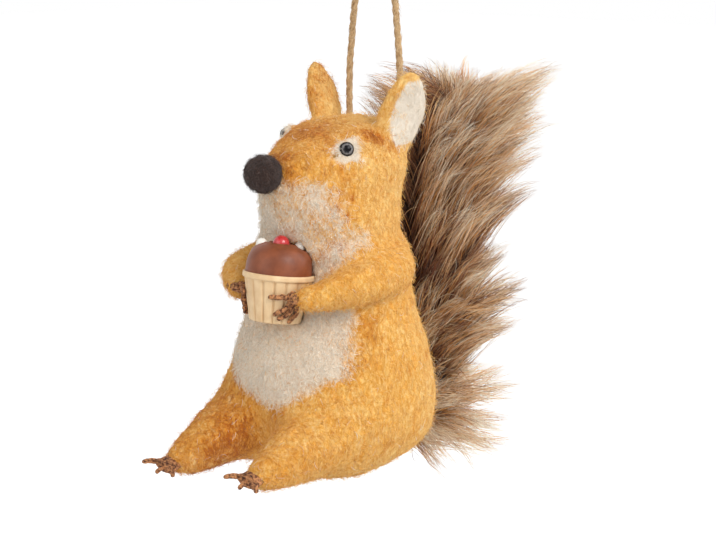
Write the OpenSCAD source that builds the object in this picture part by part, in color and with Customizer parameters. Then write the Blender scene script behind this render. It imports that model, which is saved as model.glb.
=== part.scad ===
// Hanging squirrel ornament of needle-felted wool: a sitting squirrel that holds a small
// chocolate cupcake in both paws, has a bushy fur tail and hangs from a loop of twine.
// It faces -Y, its own left is +X, and the origin is where the loop rests on a hook.
// All lengths are millimetres.

/* [Body] */
// Height of the felted torso, from its underside to the neck
body_h = 67; // [55:1:80]
// Greatest width of the torso
body_w = 54; // [46:1:62]
// Greatest depth of the torso, chest to back
body_d = 57; // [48:1:66]
// Height of the middle of the white belly wool above the torso's underside
belly_z = 32; // [28:1:36]
// Width of the white belly wool
belly_w = 38; // [30:1:42]
// Height of the white belly wool
belly_h = 42; // [34:1:46]
// Thickness of the layer of white wool
wool_t = 2.2; // [1.5:0.1:3.5]

/* [Head] */
// Height of the head form, from its lower edge in the neck to the crown
head_h = 40.5; // [36:0.5:46]
// Width of the head at the cheeks
head_w = 32; // [28:0.5:38]
// Depth of the head, snout to nape
head_d = 47; // [42:0.5:52]
// Height of the crown above the torso's underside
crown_z = 97.5; // [90:0.5:106]
// Width of the white throat wool
throat_w = 27; // [20:1:30]
// Height of the white throat wool
throat_h = 29; // [22:1:32]

/* [Ears] */
// Length of an ear along its middle, from its root inside the head
ear_l = 23; // [18:0.5:28]
// Width of an ear at its widest
ear_w = 15.5; // [12:0.5:18]
// Thickness of an ear at its root
ear_t = 5.4; // [4:0.2:6]
// Distance between the roots of the two ears
ear_span = 22; // [21:0.5:28]
// Outward lean of an ear
ear_lean = 20; // [10:1:26]
// Turn of an ear's opening towards the face
ear_turn = 14; // [0:1:25]

/* [Eyes and nose] */
// Diameter of the felt ball nose
nose_d = 10; // [8:0.5:12]
// Diameter of a glass eye
eye_d = 4; // [3:0.25:5]
// Distance between the centres of the eyes
eye_span = 23; // [20:0.5:25]
// Height of the eyes below the crown
eye_drop = 6.8; // [5:0.2:9]
// Width of the white felt patch round an eye
patch_w = 8.6; // [6:0.2:10]
// Height of the white felt patch round an eye
patch_h = 6.6; // [5:0.2:8]

/* [Arms and hands] */
// Thickness of an arm at the shoulder
arm_d = 13; // [10:0.5:15]
// Thickness of an arm at the wrist
wrist_d = 7; // [5:0.5:8]
// Height of the arms above the torso's underside
arm_z = 57; // [53:0.5:59]
// Thickness of a paper-wrapped finger
finger_d = 1.7; // [1.2:0.1:2]
// Diameter of the wire in the limbs
wire_d = 1; // [0.8:0.1:1.2]

/* [Legs and feet] */
// Thickness of a leg at the hip
hip_d = 25; // [21:0.5:28]
// Thickness of a leg at the ankle
ankle_d = 8.4; // [7:0.2:10]
// How much lower the right ankle hangs than the left
ankle_drop = 2.4; // [0:0.2:4]
// Reach of the ankles in front of the torso's middle
leg_reach = 49; // [45:0.5:54]
// Distance between the ankles
foot_span = 30; // [27:0.5:34]
// Length of a foot, from ankle to the tip of its middle toe
foot_l = 10; // [8:0.5:13]
// Roll of both feet about the direction that they point in
foot_roll = 20; // [-25:1:25]

/* [Cupcake] */
// Diameter of the cup's rim
cup_d = 18.4; // [16:0.2:20]
// Place of the cup to the squirrel's left of its middle
cup_x = 2; // [-3:0.5:3]
// Diameter of the cup's foot
cup_foot_d = 13.6; // [12:0.2:15]
// Height of the cup
cup_h = 12.8; // [11:0.2:15]
// Height of the plain band below the cup's rim
band_h = 1.5; // [1:0.1:2.5]
// Number of flutes round the cup
flutes = 17; // [12:1:22]
// Backward lean of the cup
cup_lean = 8; // [0:1:12]
// Diameter of the chocolate top
cake_d = 17.6; // [15:0.2:18]
// Diameter of the cherry
cherry_d = 4.4; // [3:0.2:5]
// Diameter of a sugar pearl
pearl_d = 3; // [2:0.1:3.4]

/* [Tail] */
// Height of the fur tail
tail_h = 117; // [104:1:130]
// Width of the fur tail at its widest
tail_w = 45; // [40:1:50]
// Depth of the fur tail at its deepest
tail_d = 42; // [37:1:47]
// Width of the woven backing inside the fur
backing_w = 10; // [8:0.5:12]
// Thickness of the woven backing
backing_t = 1.5; // [1:0.1:1.8]
// Diameter of the sewing thread that the tail hinges on
thread_d = 1.2; // [0.8:0.1:1.4]

/* [Twine] */
// Diameter of the twine
twine_d = 2; // [1.6:0.1:2.2]
// Diameter of the knot inside the head
knot_d = 4.6; // [3.8:0.1:4.8]

/* [Hidden] */
// Faces on a full turn of the round pieces
$fn = 48;
// Faces round a felted form
form_sides = 22;
// Faces round a limb
limb_sides = 14;
// Faces round a finger or toe
finger_sides = 12;
// Rings between two rows of a form's table
form_steps = 2;

// Air left round a piece that moves in another
gap = 0.3;
// Air left round the thread in its hem
thread_gap = 0.05;
// Overrun of a cut past the face that it opens
over = 1;

// Place of the hang point above the torso's underside and behind the torso's middle
hang_z = 143;
hang_y = 14;

// Routes and rings

// One half of the twine's route, from its end in the knot up to the top of the loop,
// measured from the hang point
twine_half_route = [
    [1.5, 0, -54], [3.5, 0, -54], [5, 0, -54], [6.5, 0, -53.7], [7.8, 0, -52.8],
    [8.7, 0, -51.5], [9, 0, -50], [9, 0, -45], [9.1, 0, -39], [8.9, 0, -33],
    [8.4, 0, -27], [7.8, 0, -21], [7, 0, -15], [6, 0, -10], [4.9, 0, -6],
    [4.2, 0, -3.5], [3.6, 0, -1.5], [2.5, 0, 0.1], [1.2, 0, 0.8], [0, 0, 1]
];
// Where the twine runs straight through the head: the squirrel swings on it
swing_z = twine_half_route[0][2];
strand_x = 9;
bend_x = 5;
twine_sides = 8;

function flip(points) = [for (i = [len(points) - 2 : -1 : 0]) [-points[i][0], points[i][1], points[i][2]]];
twine_route = concat(twine_half_route, flip(twine_half_route));

// A point at share s between rows b and c of a table, eased through their neighbours
function ease(a, b, c, d, s) =
    (2 * b + (c - a) * s + (2 * a - 5 * b + 4 * c - d) * s * s + (3 * b - a - 3 * c + d) * s * s * s) / 2;

// A table with more rows, that runs smoothly through the rows given
function eased(rows, steps) = concat(
    [for (i = [0 : len(rows) - 2]) for (s = [0 : steps - 1])
        ease(rows[max(i - 1, 0)], rows[i], rows[i + 1], rows[min(i + 2, len(rows) - 1)], s / steps)],
    [rows[len(rows) - 1]]);

function unit(v) = v / norm(v);

// The direction of a route at its point i
function heading(route, i) = unit(route[min(i + 1, len(route) - 1)] - route[max(i - 1, 0)]);

// A ring of points round a centre, across the direction ahead. The side direction takes
// half width a, the direction square to it half width b, and taper narrows the far end of b.
function ring(centre, ahead, side, a, b, taper, sides) =
    let (u = unit(side - ahead * (side * ahead)), v = cross(ahead, u))
    [for (i = [0 : sides - 1]) let (t = 360 * i / sides)
        centre + u * a * cos(t) * (1 + taper * sin(t)) + v * b * sin(t)];

// A closed skin over rings of equal length, with a point at each end
module skin(first, rings, last) {
    sides = len(rings[0]);
    count = len(rings);
    points = concat([first], [for (r = rings) each r], [last]);
    top = count * sides + 1;
    foot_faces = [for (i = [0 : sides - 1]) [0, 1 + i, 1 + (i + 1) % sides]];
    wall_faces = [for (k = [0 : count - 2]) for (i = [0 : sides - 1])
        let (p = 1 + k * sides + i, q = 1 + k * sides + (i + 1) % sides)
        each [[p, p + sides, q], [q, p + sides, q + sides]]];
    head_faces = [for (i = [0 : sides - 1])
        let (p = 1 + (count - 1) * sides)
        [top, p + (i + 1) % sides, p + i]];
    polyhedron(points, concat(foot_faces, wall_faces, head_faces), convexity = 6);
}

// A felted form that stands up: each row is height, place along Y, half width, half depth
// and the share by which the front narrows. The first and last rows are its ends.
module upright_form(rows, sides) {
    fine = eased(rows, form_steps);
    last = len(fine) - 1;
    skin([0, fine[0][1], fine[0][0]],
        [for (i = [1 : last - 1]) let (r = fine[i])
            ring([0, r[1], r[0]], [0, 0, 1], [1, 0, 0], r[2], r[3], r[4], sides)],
        [0, fine[last][1], fine[last][0]]);
}

// A limb along a route: each row is x, y, z, half width along side and half width across it
module limb_form(rows, side, sides) {
    fine = eased(rows, form_steps);
    last = len(fine) - 1;
    route = [for (r = fine) [r[0], r[1], r[2]]];
    skin(route[0],
        [for (i = [1 : last - 1])
            ring(route[i], heading(route, i), side, fine[i][3], fine[i][4], 0, sides)],
        route[last]);
}

// A round cord along a route
module cord(route, d, sides) {
    last = len(route) - 1;
    skin(route[0],
        [for (i = [0 : last]) ring(route[i], heading(route, i), [0, 1, 0], d / 2, d / 2, 0, sides)],
        route[last]);
}

// A round rod from one point to another
module rod(from, to, d1, d2) {
    way = to - from;
    translate(from)
        rotate([0, acos(way[2] / norm(way)), atan2(way[1], way[0])])
            cylinder(h = norm(way), d1 = d1, d2 = d2);
}

// A tapering rod with round ends that bends at each point of its route
module finger(points, d1, d2) {
    last = len(points) - 1;
    for (i = [0 : last - 1]) hull() {
        translate(points[i]) sphere(d = d1 + (d2 - d1) * i / last, $fn = finger_sides);
        translate(points[i + 1]) sphere(d = d1 + (d2 - d1) * (i + 1) / last, $fn = finger_sides);
    }
}

// Turns a profile drawn in Y and Z, and pulled along X, into its place
module sideways() rotate([90, 0, 90]) children();

// Puts what is drawn from the torso's underside into the frame of the hang point
module hung() translate([0, -hang_y, -hang_z]) children();

// Puts what is drawn for the squirrel's left on its left for 1, and on its right for -1
module toward(side) {
    if (side > 0) children();
    else mirror([1, 0, 0]) children();
}

module both_sides() for (side = [1, -1]) toward(side) children();

// Felted forms

torso_shares = [
    [0, -0.02, 0, 0, 0], [0.022, -0.02, 0.45, 0.46, 0], [0.09, -0.02, 0.78, 0.79, 0],
    [0.18, -0.03, 0.94, 0.95, 0], [0.33, -0.055, 1, 1.01, 0], [0.48, -0.07, 0.97, 0.98, 0],
    [0.63, -0.075, 0.87, 0.86, 0], [0.80, -0.07, 0.765, 0.69, 0], [0.92, -0.07, 0.64, 0.58, 0],
    [0.985, -0.07, 0.33, 0.32, 0], [1, -0.07, 0, 0, 0]
];
function torso_row(r) = [r[0] * body_h, r[1] * body_d, r[2] * body_w / 2, r[3] * body_d / 2, r[4]];
module torso_form() upright_form([for (r = torso_shares) torso_row(r)], form_sides);

// The head's heights are shares up from its lower edge, and its places shares of its depth
head_shares = [
    [0, -0.085, 0, 0, 0], [0.03, -0.085, 0.9, 0.62, 0], [0.09, -0.085, 1.17, 0.8, 0],
    [0.21, -0.095, 1.13, 0.84, 0], [0.36, -0.105, 1.07, 0.89, 0.05], [0.51, -0.115, 1.01, 0.965, 0.15],
    [0.67, -0.12, 0.99, 1.0, 0.32], [0.79, -0.08, 0.96, 0.9, 0.26], [0.89, -0.015, 0.85, 0.71, 0.12],
    [0.965, 0.04, 0.6, 0.46, 0], [1, 0.06, 0, 0, 0]
];
head_z = crown_z - head_h;
function head_row(r) =
    [head_z + r[0] * head_h, r[1] * head_d, r[2] * head_w / 2, r[3] * head_d / 2, r[4]];
module head_form() upright_form([for (r = head_shares) head_row(r)], form_sides);

// A flattened ball of felt, by its three diameters
module pad(size, turn) {
    pad_shares = [[0, 0], [0.08, 0.5], [0.3, 0.9], [0.7, 0.9], [0.92, 0.5], [1, 0]];
    rotate(turn)
        limb_form([for (r = pad_shares)
            [0, 0, (r[0] - 0.5) * size[2], r[1] * size[0] / 2, r[1] * size[1] / 2]],
            [1, 0, 0], limb_sides);
}

// The front of the torso at the height of the belly wool, and of the head at the throat
belly_front_share = -0.535;
throat_front_share = -0.54;
throat_z_share = 0.4;

module belly_pad()
    translate([0, belly_front_share * body_d + wool_t, belly_z])
        pad([belly_w, body_d * 0.3, belly_h], [-4, 0, 0]);

module throat_pad()
    translate([0, throat_front_share * head_d + wool_t, head_z + throat_z_share * head_h])
        pad([throat_w, head_d * 0.24, throat_h], [2, 0, 0]);

// Places on the head

nose_z_share = 0.7;
nose_y_share = -0.665;
nose_at = [0, nose_y_share * head_d, head_z + nose_z_share * head_h];

eye_y_share = -0.245;
// The right eye sits higher than the left, and nearer the middle, as in the photo
right_eye_in = 1.2;
right_eye_back = 0.9;
right_eye_rise = 2;
function eye_at(side) = let (at = [eye_span / 2, eye_y_share * head_d, crown_z - eye_drop])
    side > 0 ? at : at + [-right_eye_in, right_eye_back, right_eye_rise];
eye_turn = [8, 0, 38];
module eye_ball(side) translate(eye_at(side)) sphere(d = eye_d);
module patch_pad(side) translate(eye_at(side)) pad([patch_h * 0.5, patch_w, patch_h], eye_turn);

// Place of the ears' roots behind the torso's middle and below the crown
ear_y = 8.5;
// The right ear stands farther back and more upright than the left, as in the photo, and
// far enough out to clear the twine
right_ear_out = 0.6;
right_ear_back = 2;
right_ear_lean = ear_lean - 4;
ear_drop = 9;
ear_root_z = crown_z - ear_drop;
ear_shares = [
    [0, 0, 0], [0.06, 0.55, 0.9], [0.3, 0.92, 0.95], [0.52, 1, 0.85],
    [0.75, 0.8, 0.68], [0.93, 0.38, 0.46], [1, 0, 0]
];
ear_lining_share = 0.74;
module ear_leaf(width, thickness)
    limb_form([for (r = ear_shares) [0, 0, r[0] * ear_l, r[1] * width / 2, r[2] * thickness / 2]],
        [0, 1, 0], limb_sides);
function ear_at(side) = side > 0 ? [ear_span / 2, ear_y, ear_root_z]
    : [ear_span / 2 + right_ear_out, ear_y + right_ear_back, ear_root_z];
module at_ear(side)
    translate(ear_at(side)) rotate([0, side > 0 ? ear_lean : right_ear_lean, -ear_turn]) children();
module ear_form(side) at_ear(side) ear_leaf(ear_w, ear_t);
module lining_form(side)
    at_ear(side) translate([ear_t * 0.42, 0, ear_l * (1 - ear_lining_share) / 2 + wool_t / 2])
        scale(ear_lining_share) ear_leaf(ear_w, ear_t);

// Cupcake

cup_y_share = -0.52;
cup_y = cup_y_share * body_d;
cup_z = 46.4;
cup_r = cup_d / 2;
cup_foot_r = cup_foot_d / 2;
flute_d = 0.7;
band_out = 0.25;
dome_sink = 0.8;
pearl_turns = [205, 60];
pearl_out_share = 0.6;
function cup_radius(z) = cup_foot_r + (cup_r - cup_foot_r) * z / cup_h;
module at_cup(side = 1) translate([side * cup_x, cup_y, cup_z]) rotate([-cup_lean, 0, 0]) children();
module cup_solid() {
    cylinder(h = cup_h - band_h, r1 = cup_foot_r, r2 = cup_radius(cup_h - band_h));
    translate([0, 0, cup_h - band_h]) cylinder(h = band_h, r = cup_r + band_out);
}
// The chocolate top is a dome over a round slab that fills the cup's mouth
module cake_solid() translate([0, 0, cup_h - dome_sink]) intersection() {
    sphere(d = cake_d);
    cylinder(h = cake_d, d = cake_d + over);
}
module cup_body(side = 1) at_cup(side) cup_solid();
cherry_z = cup_h - dome_sink + cake_d / 2 - cherry_d * 0.08;
module cherry_ball() translate([0, 0, cherry_z]) sphere(d = cherry_d);
pearl_lift_share = sqrt(1 - pearl_out_share * pearl_out_share);
module pearl_balls()
    for (turn = pearl_turns) rotate([0, 0, turn])
        translate([pearl_out_share * cake_d / 2, 0, cup_h - dome_sink + pearl_lift_share * cake_d / 2])
            sphere(d = pearl_d);
// The whole cupcake, which the wool behind it makes way for
module cup_envelope() at_cup() {
    cup_solid();
    cake_solid();
    cherry_ball();
    pearl_balls();
}

// Limbs

shoulder_x = body_w * 0.27;
// Rows of the upper arm, as shares of its thickness: place from the shoulder, then half width
upper_arm_shares = [
    [-0.31, 0.46, 0.04, 0], [-0.08, 0.31, 0.04, 0.42], [0.27, -0.15, 0.04, 0.49],
    [0.42, -0.85, -0.02, 0.435], [0.31, -1.615, -0.11, 0.365]
];
// Rows of the wrist, as shares of its thickness: place from the wrist's middle, then half width
wrist_shares = [[0.34, 0.51, 0, 0.5], [0.17, 0.23, 0, 0.35], [0.11, 0.14, 0, 0]];
wrist_turn = 15;
wrist_share = 0.62;
function wrist_at(side) = let (out = cup_r + finger_d * 1.1)
    [side * cup_x + out * cos(wrist_turn), cup_y - out * sin(wrist_turn), cup_z + wrist_share * cup_h];
function limb_row(from, r, d) =
    [from[0] + r[0] * d, from[1] + r[1] * d, from[2] + r[2] * d, r[3] * d, r[3] * d];
function arm_rows(side) = concat(
    [for (r = upper_arm_shares) limb_row([shoulder_x, 0, arm_z], r, arm_d)],
    [for (r = wrist_shares) limb_row(wrist_at(side), r, wrist_d)]);
module arm_form(side) limb_form(arm_rows(side), [0, 0, 1], limb_sides);

// A point on the outside of the cup, by its turn from +X towards the front and its height
function on_cup(turn, z) =
    let (r = cup_radius(z) + finger_d / 2 + grip_gap)
    [r * cos(turn), -r * sin(turn), z];
grip_gap = 0.1;
// Each finger: turn and share of the cup's height at its knuckle, then at its tip
finger_shares = [[34, 0.58, 62, 0.56], [30, 0.36, 53, 0.2], [22, 0.28, 44, 0.11], [8, 0.265, 24, 0.06]];
palm_turn = 22;
palm_share = 0.6;
palm_at = on_cup(palm_turn, palm_share * cup_h);
wrist_ball_d = finger_d * 2;
elbow_at = [shoulder_x + 0.35 * arm_d, -1.35 * arm_d, arm_z - 0.07 * arm_d];

module arm_wire_rod(side) rod(wrist_at(side), elbow_at, wire_d, wire_d);
module wrist_ball(side) translate(wrist_at(side)) sphere(d = wrist_ball_d);

module hand_form(side) difference() {
    union() {
        at_cup(side) for (f = finger_shares)
            finger([palm_at, on_cup(f[0], f[1] * cup_h), on_cup(f[2], f[3] * cup_h)],
                finger_d * 1.15, finger_d * 0.7);
        at_cup(side) translate(palm_at) sphere(d = finger_d * 1.8, $fn = finger_sides);
        translate(wrist_at(side)) sphere(d = wrist_ball_d, $fn = finger_sides);
    }
    cup_body(side);
}

// Heights of the ankles and hips above the torso's underside
ankle_z = 12;
hip_z = 16.5;
function ankle_at(side) = [foot_span / 2, -leg_reach, side > 0 ? ankle_z : ankle_z - ankle_drop];
// Rows of a leg, as shares: out to the ankle, forward to it, up from ankle to hip, then half
// width in hip thicknesses and in ankle thicknesses
leg_shares = [
    [0.72, 0.08, 0.89, 0, 0], [0.79, 0.163, 1, 0.42, 0], [0.88, 0.347, 1, 0.5, 0],
    [0.933, 0.58, 0.7, 0.385, 0], [0.98, 0.79, 0.3, 0.27, 0], [1, 0.95, 0.044, 0, 0.56],
    [1, 1.01, 0, 0, 0.36], [1, 1.02, 0, 0, 0]
];
function leg_row(side, r) = let (half = r[3] * hip_d + r[4] * ankle_d, at = ankle_at(side))
    [r[0] * at[0], -r[1] * leg_reach, at[2] + r[2] * (hip_z - at[2]), half, half];
module leg_form(side) limb_form([for (r = leg_shares) leg_row(side, r)], [1, 0, 0], limb_sides);

leg_wire_l = 20;
toe_angle = 26;
toe_turns = [-toe_angle, 0, toe_angle];
toe_d = finger_d * 1.25;
heel_l = foot_l * 0.3;
ankle_ball_d = ankle_d * 0.46;
function at_turn(turn, reach, z) = [reach * sin(turn), -reach * cos(turn), z];
module foot_form(side) translate(ankle_at(side)) rotate([6, foot_roll, 0]) {
    finger([[0, 0, 0], at_turn(0, foot_l * 0.33, -toe_d * 0.2)], ankle_ball_d, ankle_d * 0.38);
    for (turn = toe_turns)
        finger([at_turn(turn, foot_l * 0.24, 0), at_turn(turn, foot_l * 0.68, 0),
            at_turn(turn * 1.1, foot_l, -toe_d * 0.4)], toe_d, toe_d * 0.6);
    finger([at_turn(0, foot_l * 0.34, 0), at_turn(10, foot_l * 0.26, -heel_l)], toe_d, toe_d * 0.6);
}

// Tail

// The seam that the tail bends at, in the torso's back: a thread through the backing's hem
seam_y_share = 0.3246;
seam_y = seam_y_share * body_d;
seam_z = 6;
// Rows of the tail: share of its height, place behind the seam as a share of its depth, and
// the shares of its half width and half depth
tail_shares = [
    [0, 0.464, 0, 0, 0], [0.013, 0.464, 0.44, 0.38, 0], [0.051, 0.482, 0.78, 0.63, 0],
    [0.111, 0.512, 0.845, 0.667, 0], [0.179, 0.56, 0.82, 0.643, 0], [0.248, 0.545, 0.755, 0.6, 0],
    [0.385, 0.613, 0.867, 0.702, 0], [0.538, 0.617, 0.867, 0.743, 0], [0.675, 0.637, 0.933, 0.845, 0],
    [0.795, 0.679, 1, 1, 0], [0.897, 0.762, 0.98, 1, 0], [0.957, 0.833, 0.755, 0.833, 0],
    [0.99, 0.893, 0.4, 0.476, 0], [1, 0.905, 0, 0, 0]
];
tail_foot_z = -7;
function tail_row(r) =
    [tail_foot_z + r[0] * tail_h, seam_y + r[1] * tail_d, r[2] * tail_w / 2, r[3] * tail_d / 2, r[4]];
module tail_form() upright_form([for (r = tail_shares) tail_row(r)], form_sides);

hem_r = thread_d / 2 + thread_gap + backing_t;
stitch_l = 3;
thread_l = backing_w + 2 * stitch_l;
// The backing leaves the hem backwards, turns up in a quarter circle and then leans back
turn_r = 8;
rise_out = 17.5;
rise_y = seam_y + rise_out;
lean_r = 250;
lean_angle = 20;
hem_lap = 0.25;
flat_z = seam_z - hem_r + backing_t / 2 + hem_lap;
turn_y = rise_y - turn_r;
rise_z = flat_z + turn_r;
tail_wire_d = 1.2;
wire_sink = 0.3;
wire_turns = [1.5, 19];

// One side of the backing, seen from the squirrel's side, at a distance off from its middle
turn_steps = 6;
lean_steps = 8;
function backing_side(off) = concat(
    [[seam_y, flat_z - off]],
    [for (i = [0 : turn_steps]) let (t = 90 * i / turn_steps)
        [turn_y + (turn_r + off) * sin(t), rise_z - (turn_r + off) * cos(t)]],
    [for (i = [1 : lean_steps]) let (t = lean_angle * i / lean_steps)
        [rise_y + lean_r - (lean_r - off) * cos(t), rise_z + (lean_r - off) * sin(t)]]);
function reversed(points) = [for (i = [len(points) - 1 : -1 : 0]) points[i]];

module backing_form() sideways() {
    translate([seam_y, seam_z, -backing_w / 2]) cylinder(h = backing_w, r = hem_r);
    linear_extrude(height = backing_w, center = true)
        polygon(concat(backing_side(backing_t / 2), reversed(backing_side(-backing_t / 2))));
}

module stiffener()
    sideways() translate([rise_y + lean_r, rise_z, 0])
        rotate([0, 0, 180 - wire_turns[1]])
            rotate_extrude(angle = wire_turns[1] - wire_turns[0])
                translate([lean_r - (backing_t + tail_wire_d) / 2 + wire_sink, 0])
                    circle(d = tail_wire_d);

module seam_thread(d, l) translate([-l / 2, seam_y, seam_z]) rotate([0, 90, 0]) cylinder(h = l, d = d);

// Clear way in the head for the twine: a straight bore with a pocket for the knot, and a
// round groove at each side in which a strand can lean
swing_at = [0, hang_y, hang_z + swing_z];
module along_swing(from, to, r)
    translate(swing_at) translate([from, 0, 0]) rotate([0, 90, 0]) cylinder(h = to - from, r = r);
bore_r = twine_d / 2 + gap;
groove_r = 7;
bend_r = 3;
module twine_way() {
    along_swing(-strand_x, strand_x, bore_r);
    translate(swing_at) sphere(d = knot_d + 2 * gap);
    both_sides() {
        along_swing(bend_x, strand_x, bend_r);
        along_swing(strand_x - twine_d / 2 - 2 * gap, strand_x + twine_d / 2 + gap, groove_r);
    }
}

// The pieces

module hanging_twine() color("tan") cord(twine_route, twine_d, twine_sides);

module twine_knot() color("tan") hung() difference() {
    translate(swing_at) sphere(d = knot_d);
    along_swing(twine_half_route[0][0], knot_d, twine_d / 2);
    along_swing(-knot_d, -twine_half_route[0][0], twine_d / 2);
}

module torso() color("goldenrod") hung() difference() {
    torso_form();
    belly_pad();
    cup_envelope();
    seam_thread(thread_d, thread_l);
    seam_groove();
    for (side = [1, -1]) toward(side) arm_wire_rod(side);
}
module seam_groove()
    translate([-backing_w / 2 - gap, seam_y, seam_z]) rotate([0, 90, 0])
        cylinder(h = backing_w + 2 * gap, r = hem_r + gap);

module belly_patch() color("ivory") hung() difference() {
    intersection() {
        torso_form();
        belly_pad();
    }
    cup_envelope();
}

module head() color("goldenrod") hung() difference() {
    head_form();
    torso_form();
    throat_pad();
    cup_envelope();
    translate(nose_at) sphere(d = nose_d);
    for (side = [1, -1]) toward(side) {
        patch_pad(side);
        eye_ball(side);
    }
    twine_way();
}

module throat_patch() color("ivory") hung() difference() {
    intersection() {
        head_form();
        throat_pad();
    }
    torso_form();
    cup_envelope();
    translate(nose_at) sphere(d = nose_d);
}

module nose() color("saddlebrown") hung() translate(nose_at) sphere(d = nose_d);

module ear(side) color("goldenrod") difference() {
    toward(side) ear_form(side);
    head_form();
    toward(side) lining_form(side);
}
module ear_left() hung() ear(1);
module ear_right() hung() ear(-1);

module ear_lining(side) color("ivory") difference() {
    toward(side) intersection() {
        ear_form(side);
        lining_form(side);
    }
    head_form();
}
module ear_lining_left() hung() ear_lining(1);
module ear_lining_right() hung() ear_lining(-1);

module eye_patch(side) color("white") difference() {
    intersection() {
        head_form();
        toward(side) patch_pad(side);
    }
    toward(side) eye_ball(side);
}
module eye_patch_left() hung() eye_patch(1);
module eye_patch_right() hung() eye_patch(-1);

module eye_left() color("black") hung() eye_ball(1);
module eye_right() color("black") hung() toward(-1) eye_ball(-1);

module arm(side) color("goldenrod") difference() {
    toward(side) arm_form(side);
    torso_form();
    head_form();
    cup_body();
    toward(side) {
        wrist_ball(side);
        arm_wire_rod(side);
    }
}
module arm_left() hung() arm(1);
module arm_right() hung() arm(-1);

module arm_wire(side) color("silver") toward(side) difference() {
    arm_wire_rod(side);
    wrist_ball(side);
}
module arm_wire_left() hung() arm_wire(1);
module arm_wire_right() hung() arm_wire(-1);

module hand_left() color("saddlebrown") hung() hand_form(1);
module hand_right() color("saddlebrown") hung() toward(-1) hand_form(-1);

module leg_wire_rod(side) translate(ankle_at(side) + [0, ankle_ball_d / 2, 0]) rotate([-90, 0, 0])
    cylinder(h = leg_wire_l, d = wire_d);
module ankle_socket(side) translate(ankle_at(side) + [0, ankle_ball_d / 2, 0]) rotate([90, 0, 0])
    cylinder(h = foot_l, d1 = ankle_ball_d, d2 = ankle_ball_d + foot_l * 0.4);
module leg(side) color("goldenrod") difference() {
    toward(side) leg_form(side);
    torso_form();
    toward(side) ankle_socket(side);
    toward(side) leg_wire_rod(side);
}
module leg_left() hung() leg(1);
module leg_right() hung() leg(-1);

module foot(side) translate([(side - 1) * foot_span / 2, 0, 0]) foot_form(side);
module foot_left() color("saddlebrown") hung() foot(1);
module foot_right() color("saddlebrown") hung() foot(-1);

module leg_wire(side) color("silver") toward(side) leg_wire_rod(side);
module leg_wire_left() hung() leg_wire(1);
module leg_wire_right() hung() leg_wire(-1);

module cupcake_case() color("wheat") hung() at_cup() difference() {
    cup_solid();
    translate([0, 0, cup_h - dome_sink]) cylinder(h = dome_sink + over, d = cake_d);
    for (i = [0 : flutes - 1]) rotate([0, 0, 360 * i / flutes])
        rod([cup_radius(-over), 0, -over], [cup_radius(cup_h - band_h), 0, cup_h - band_h],
            flute_d, flute_d);
}

module cupcake_top() color("sienna") hung() at_cup() difference() {
    cake_solid();
    cherry_ball();
    pearl_balls();
}

module cherry() color("red") hung() at_cup() cherry_ball();
module pearls() color("white") hung() at_cup() pearl_balls();

module tail_thread() color("tan") hung() seam_thread(thread_d, thread_l);

module tail_backing() color("burlywood") hung() difference() {
    backing_form();
    stiffener();
    seam_thread(thread_d + 2 * thread_gap, thread_l);
}

module tail_wire() color("silver") hung() stiffener();

module tail_fur() color("rosybrown") hung() difference() {
    tail_form();
    backing_form();
    stiffener();
}

hanging_twine();
twine_knot();
torso();
belly_patch();
head();
throat_patch();
nose();
ear_left();
ear_right();
ear_lining_left();
ear_lining_right();
eye_patch_left();
eye_patch_right();
eye_left();
eye_right();
arm_left();
arm_right();
arm_wire_left();
arm_wire_right();
hand_left();
hand_right();
leg_left();
leg_right();
leg_wire_left();
leg_wire_right();
foot_left();
foot_right();
cupcake_case();
cupcake_top();
cherry();
pearls();
tail_thread();
tail_backing();
tail_wire();
tail_fur();
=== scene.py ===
"""The looks of a hanging squirrel ornament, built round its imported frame.

The squirrel is measured in millimetres from the middle of its torso's underside. It faces -Y
and its own left is +X. The function placed turns such points into the frame's metres.
"""

import logging
import math
from dataclasses import dataclass, field
from enum import Enum

import bpy
import numpy as np
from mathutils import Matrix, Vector


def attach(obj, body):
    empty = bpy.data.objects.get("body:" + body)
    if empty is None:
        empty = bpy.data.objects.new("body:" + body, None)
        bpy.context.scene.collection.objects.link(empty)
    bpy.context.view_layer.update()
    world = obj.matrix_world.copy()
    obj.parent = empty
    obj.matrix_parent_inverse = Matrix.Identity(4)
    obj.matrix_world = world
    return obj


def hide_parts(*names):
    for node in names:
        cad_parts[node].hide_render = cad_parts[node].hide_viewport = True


Array = np.ndarray
Rng = np.random.Generator
Material = bpy.types.Material
Socket = bpy.types.NodeSocket
Group = bpy.types.NodeTree

LOG = logging.getLogger("squirrel")

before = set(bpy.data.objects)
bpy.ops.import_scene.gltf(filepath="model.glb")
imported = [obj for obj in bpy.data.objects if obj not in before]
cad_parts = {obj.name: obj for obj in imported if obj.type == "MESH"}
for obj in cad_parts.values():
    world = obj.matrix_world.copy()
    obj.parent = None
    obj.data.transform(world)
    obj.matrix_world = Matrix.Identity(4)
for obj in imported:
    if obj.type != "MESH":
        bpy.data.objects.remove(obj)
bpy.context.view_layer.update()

MM = 0.001
TWINE_Y = 14.0
HANG_POINT = np.array([0.0, TWINE_Y, 143.0])  # in the squirrel's own millimetres
SWING_Z = 89.0  # the height of the straight run of twine in the head
BAKE_MAP = "OFBake"
HASH_STEPS = np.array([374761393, 668265263, 2246822519])
HASH_SCALE = 1274126177
LOW_BITS = 0x7FFFFFFF


class Side(Enum):
    """The squirrel's own two sides, as the sign of X."""

    LEFT = 1
    RIGHT = -1

    @property
    def word(self) -> str:
        """The side's name as the nodes spell it."""
        return self.name.lower()


class Body(Enum):
    """The rigid bodies that pieces ride on."""

    HANGER = "hanger"
    SQUIRREL = "squirrel"
    TAIL = "tail"


# Points, noise and curves


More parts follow.
